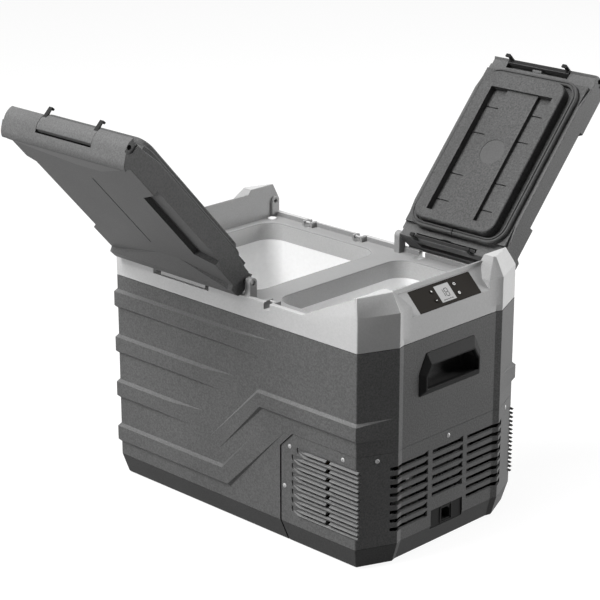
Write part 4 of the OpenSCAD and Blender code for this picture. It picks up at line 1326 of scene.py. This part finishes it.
def top_strips(x0, x1, hinge):
    """Recesses along both sides of a lid's top, longer towards the hinge."""
    left = x0 + STRIP_LEFT
    right = x1 - STRIP_RIGHT
    cuts = []
    for points in ([(x1 + 1, 97), (x1 + 1, -84), (right, -67), (right, 80)],
                   [(x0 - 1, 97), (x0 - 1, -97), (left, -85), (left, 84)]):
        outline = [(x, hinge * y) for x, y in points]
        cuts.append(prism("z", outline, ROOF - STRIP_D, TOWER_TOP + 1))
    return cuts


def boss_dish(x0, x1):
    """Room for a hinge boss in one end of a lid, at the front edge."""
    return prism("x", arch(BOSS_R + 2, LID_LOW - 1, 17), x0, x1)


def free_pocket(side):
    """Opening of a latch's pocket towards the compartments, on a lid's free edge only."""
    latch = LATCH_X[side]
    y0, y1 = sorted((-SIDES[side] * POCKET_E, -SIDES[side] * POCKET_BACK))
    return block(latch - POCKET_W / 2, latch + POCKET_W / 2, y0, y1, LID_LOW - 1, POCKET_TOP - 2)


def latch_pocket(side):
    """Pocket of a latch in a lid's front edge, with the bore of its pin."""
    x0 = LATCH_X[side] - POCKET_W / 2
    x1 = LATCH_X[side] + POCKET_W / 2
    return [block(x0, x1, -LID_E - 1, -POCKET_BACK, LID_LOW - 1, POCKET_TOP),
            block(x0, x1, -POCKET_BACK - 1, -POCKET_E, LID_LOW + 8.6, POCKET_TOP),
            rod("x", (-PADDLE_E, PADDLE_Z), LATCH_PIN_R, x0 - 8, x1 + 8, 24)]


def lid_cover(side):
    x0, x1 = LID_SPANS[side]
    middle = (x0 + x1) / 2
    cover = soften(prism("x", lid_section(side), x0, x1), 0.8, 2, 50)
    fuse(cover, *both("y", brow(x0 + 5, x1 - 4, middle - 5, middle + 50)))
    room = block(x0 + LID_WALL, x1 - LID_WALL, -RAIL_E, RAIL_E, LID_LOW - 1, ROOF - STRIP_D - 2)
    crease = block(middle + 3.6, middle + 6, -CREASE_E, CREASE_E, ROOF - CREASE_D, TOWER_TOP + 1)
    dishes = [boss_dish(x0 - 1, x0 + BOSS_T), boss_dish(x1 - BOSS_T, x1 + 1)]
    carve(cover, room, *top_strips(x0, x1, SIDES[side]), crease, free_pocket(side),
          *both("y", *latch_pocket(side), *dishes))
    bores = [rod("x", (-AXIS_E, AXIS_Z), PIN_R + CLEAR, low, low + PIN_IN) for low in (x0, x1 - PIN_IN)]
    carve(tidy(cover), *both("y", *bores))
    lid_piece(cover, side, "cover", lid_plastic, smooth=9)


def plug_cuts(side):
    """Tray in a lid's plug with a raised strip along it, a round seat on the strip, and cross grooves."""
    low = OPENINGS[side][0] + PLUG_GAP + TRAY_IN
    high = OPENINGS[side][1] - PLUG_GAP - TRAY_IN
    free = -OPEN_Y + PLUG_GAP + TRAY_IN + 4
    back = OPEN_Y - PLUG_GAP - TRAY_IN + 8
    middle = (low + high) / 2
    strip = (high - low) / 4
    top = PLUG_Z + TRAY_D
    tray = block(low, high, free, back, PLUG_Z - 1, top)
    carve(tray, block(middle - strip, middle + strip, free - 1, back + 1, TRAY_STRIP_Z, top + 1))
    cuts = [tray, rod("z", (middle, 0), DISC_R, PLUG_Z, DISC_Z, 64)]
    for share in (0.14, 0.35, 0.685, 0.895):
        y = free + share * (back - free)
        for start, end in ((low, middle - strip), (middle + strip, high)):
            cuts.append(block(start - 0.5, end + 0.5, y - 1.1, y + 1.1, top - 1, top + 2.5))
    return cuts


def lid_liner(side):
    x0, x1 = LID_SPANS[side]
    hinge = SIDES[side]
    edge = LID_WALL - 0.2
    liner = block(x0 + edge, x1 - edge, -RAIL_E - 0.2, RAIL_E + 0.2, LID_LOW, LID_LOW + 8)
    paint(liner, liner_plastic, disc_plastic)
    start, end = OPENINGS[side]
    shape = (start + max(0, -hinge) * PLUG_END, end - max(0, hinge) * PLUG_END)
    bend = [(r - PLUG_GAP, z) for r, z in arc((-3, PLUG_Z + 3), 3, 0, -90, 4)]
    plug = loft([pad(shape, grow, z, PLUG_R) for grow, z in [(-PLUG_GAP, LID_LOW + 1)] + bend])
    carve(plug, *plug_cuts(side))
    middle = sum(OPENINGS[side]) / 2

    def on_disc(face):
        near = math.hypot(face.center.x - middle, face.center.y) < DISC_R
        return near and abs(face.center.z - DISC_Z) < 0.1

    tone(plug, liner_plastic, disc_plastic, on_disc)
    moved(plug, Matrix.Translation((0, hinge * PLUG_SHIFT, 0)) @ Matrix.Diagonal((1, hinge, 1, 1)))
    fuse(liner, plug)
    lid_piece(liner, side, "liner")


def lid_foam(side):
    """Foam that fills a lid, lower along both sides under the recesses of its top."""
    x0, x1 = LID_SPANS[side]
    gap = LID_WALL + 0.3
    reach = RAIL_E + 1
    top = ROOF - 3
    lower = top - STRIP_D - 0.5
    filling = block(x0 + gap, x1 - gap, -RAIL_E + 0.5, RAIL_E - 0.5, LID_LOW + 8.2, top)
    spans = ((x0, x0 + (STRIP_LEFT + 3)), (x1 - (STRIP_RIGHT + 3), x1))
    carve(filling, *[block(start, end, -reach, reach, lower, top + 1) for start, end in spans])
    lid_piece(filling, side, "foam", foam)


def lid_gasket(side):
    profile = [(2.0, LID_LOW), (2.0, DECK + 2.4), (3.0, DECK + 0.8), (5.0, DECK + 0.6), (5.6, DECK + 2.6),
               (6.8, DECK + 2.6), (7.4, DECK + 0.7), (9.6, DECK + 1), (11.0, DECK + 3), (11.3, LID_LOW)]
    seal = loft([pad(OPENINGS[side], grow - PLUG_GAP, z, PLUG_R) for grow, z in profile], closed=True)
    middle = sum(OPENINGS[side]) / 2
    hinge = SIDES[side]
    carve(seal, block(middle - 1, middle + 1, hinge * OPEN_Y - 12, hinge * OPEN_Y + 12, DECK, DECK + 5))
    moved(seal, Matrix.Translation((0, hinge * PLUG_SHIFT, 0)))
    lid_piece(seal, side, "gasket", gasket_rubber)


def latches():
    """Paddles with two hooks each, drawn on the back edge of a closed lid."""
    front = [p for p in curve(EDGE_CURVE, 6) if p.y < PADDLE_TOP - 1]
    back = PADDLE_E + 1
    section = front + vectors([(LID_E - 4.1, PADDLE_TOP), (back, PADDLE_TOP), (back, PADDLE_LOW)])
    pin = (PADDLE_E, PADDLE_Z)
    hook = [(LID_E - 0.3, PADDLE_LOW + 6), *arc((AXIS_E, AXIS_Z), HOOK_OUT, -79, -91, 4),
            *arc((AXIS_E, AXIS_Z), HOOK_IN, -91, -82, 3), (LID_E - 4.4, PADDLE_LOW + 6)]
    for side in SIDES:
        x = LATCH_X[side]
        half = PADDLE_W / 2
        paddle = soften(prism("x", section, x - half, x + half), 0.7, 2, 40)
        barrel = rod("x", pin, LATCH_PIN_R + 3, x - half + 0.5, x + half - 0.5)
        claws = []
        for middle in (x - HOOK_X, x + HOOK_X):
            claw = prism("x", hook, middle - HOOK_W / 2, middle + HOOK_W / 2)
            claws.append(soften(claw, 0.6, 2, 40))
        fuse(paddle, barrel, *claws)
        carve(paddle, rod("x", pin, LATCH_PIN_R + CLEAR, x - PADDLE_W, x + PADDLE_W, 24))
        tone(paddle, lid_plastic, black_plastic, lambda face: face.center.z < PADDLE_LOW)
        for name, obj in (("front", flipped(paddle, "y")), ("rear", paddle)):
            node = side + "_" + name + "_latch"
            piece(obj, node, body=node, turn=swing(side))


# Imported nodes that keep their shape

def pipes():
    """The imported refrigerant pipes, with the points merged that coincide."""
    node = NODES["refrigerant_pipes"]
    line = copied(node, Matrix.Scale(1 / MM, 4) @ node.matrix_world)
    line.data.materials.clear()
    piece(line, "refrigerant_pipes", copper)


def dress():
    """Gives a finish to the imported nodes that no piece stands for."""
    pins = [side + name for side in SIDES for name in ("_hinge_pins", "_latch_pins")]
    finishes = {
        screw_steel: ["latch_keepers"],
        steel: ["compressor_tray", *pins],
        spring_steel: [side + "_latch_springs" for side in SIDES],
        aluminium: ["left_evaporator", "right_evaporator", "condenser", "drive_module"],
        enamel: ["compressor"],
        rubber: ["compressor_grommets"],
        black_plastic: ["fan_shroud", "fan_rotor"],
        board_green: ["control_board"],
        foam: ["foam_insulation"],
    }
    for material, names in finishes.items():
        for name in names:
            NODES[name].data.materials.clear()
            paint(NODES[name], material)


# Floor, light and camera; places are in metres

FLOOR_REACH = 30
FLOOR_LEVEL = 0.9
SKY_LEVEL = 0.03
LAMP_AIM = Vector((0, 0, 0.25))
CAMERA_LENS = 124.4
CAMERA_PLACE = (2.1935, -2.2688, 1.4139)
CAMERA_TOWARD = Vector((-0.6615, 0.6755, -0.3256))


def by_ray(tree, camera_level, other_level):
    """Number for rays that show the background, also in reflections, and one for all others."""
    path = tree.nodes.new("ShaderNodeLightPath")
    direct = number(tree, "MAXIMUM", (path, "Is Camera Ray"), (path, "Is Glossy Ray"))
    shown = number(tree, "MAXIMUM", (direct, "Value"), (path, "Is Transmission Ray"))
    level = added(tree, "MapRange", {"To Min": other_level, "To Max": camera_level})
    linked(tree, shown, "Value", level, "Value")
    return level


def floor():
    corners = ((-1, -1), (1, -1), (1, 1), (-1, 1))
    bm = bmesh.new()
    bm.faces.new([bm.verts.new((x * FLOOR_REACH, y * FLOOR_REACH, 0)) for x, y in corners])
    ground = as_object(bm, "floor")
    material = bpy.data.materials.new("floor_white")
    material.use_nodes = True
    tree = material.node_tree
    matt = {"Base Color": (0.16, 0.16, 0.16, 1), "Roughness": 1, "Specular IOR Level": 0}
    shader = given(tree.nodes["Principled BSDF"], matt)
    light = tree.nodes.new("ShaderNodeEmission")
    linked(tree, by_ray(tree, FLOOR_LEVEL, 0), "Result", light, "Strength")
    total = tree.nodes.new("ShaderNodeAddShader")
    linked(tree, shader, "BSDF", total, 0)
    linked(tree, light, "Emission", total, 1)
    linked(tree, total, "Shader", tree.nodes["Material Output"], "Surface")
    paint(ground, material)
    ground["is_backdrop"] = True


def world():
    sky = bpy.data.worlds.new("studio")
    sky.use_nodes = True
    bpy.context.scene.world = sky
    tree = sky.node_tree
    white = given(tree.nodes["Background"], {"Color": (1, 1, 1, 1)})
    linked(tree, by_ray(tree, 1, SKY_LEVEL), "Result", white, "Strength")


def lamp(name, azimuth, elevation, distance, size, level):
    """Square lamp that looks at the object; level 1 shows a surface that faces it in its own colour."""
    data = bpy.data.lights.new(name, "AREA")
    data.size = size
    data.energy = level * (math.pi * distance) ** 2
    obj = new_object(name, data)
    a = math.radians(azimuth)
    e = math.radians(elevation)
    away = Vector((math.cos(a) * math.cos(e), math.sin(a) * math.cos(e), math.sin(e)))
    obj.location = LAMP_AIM + away * distance
    obj.rotation_euler = away.to_track_quat("Z", "Y").to_euler()


def camera():
    data = bpy.data.cameras.new("camera")
    data.sensor_width = 36
    data.lens = CAMERA_LENS
    obj = new_object("camera", data)
    obj.location = CAMERA_PLACE
    obj.rotation_euler = CAMERA_TOWARD.to_track_quat("-Z", "Y").to_euler()
    bpy.context.scene.camera = obj


camera()
floor()
world()
lamp("key", azimuth=-112, elevation=52, distance=4, size=1.6, level=1.1)
lamp("fill", azimuth=-114, elevation=5, distance=4, size=1.2, level=0.5)
lamp("side", azimuth=60, elevation=9, distance=4, size=2.2, level=1.4)
lamp("top", azimuth=-115, elevation=80, distance=3.2, size=1.6, level=0.7)
bpy.context.scene.view_settings.view_transform = "Standard"

case_shell()
base_pan()
rubber_feet()
handle_cups()
vent_panel()
vent_screws()
inlet_plate()
power_inlet()
upper_rim()
throats()
tubs()
cabin_lamp()
control_panel()
display()
buttons()
for side in SIDES:
    lid_cover(side)
    lid_liner(side)
    lid_foam(side)
    lid_gasket(side)
latches()
pipes()
dress()

boxes = {"cad": cad_box, "visual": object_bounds()}
{name: [list(corner) for corner in corners] for name, corners in boxes.items()}
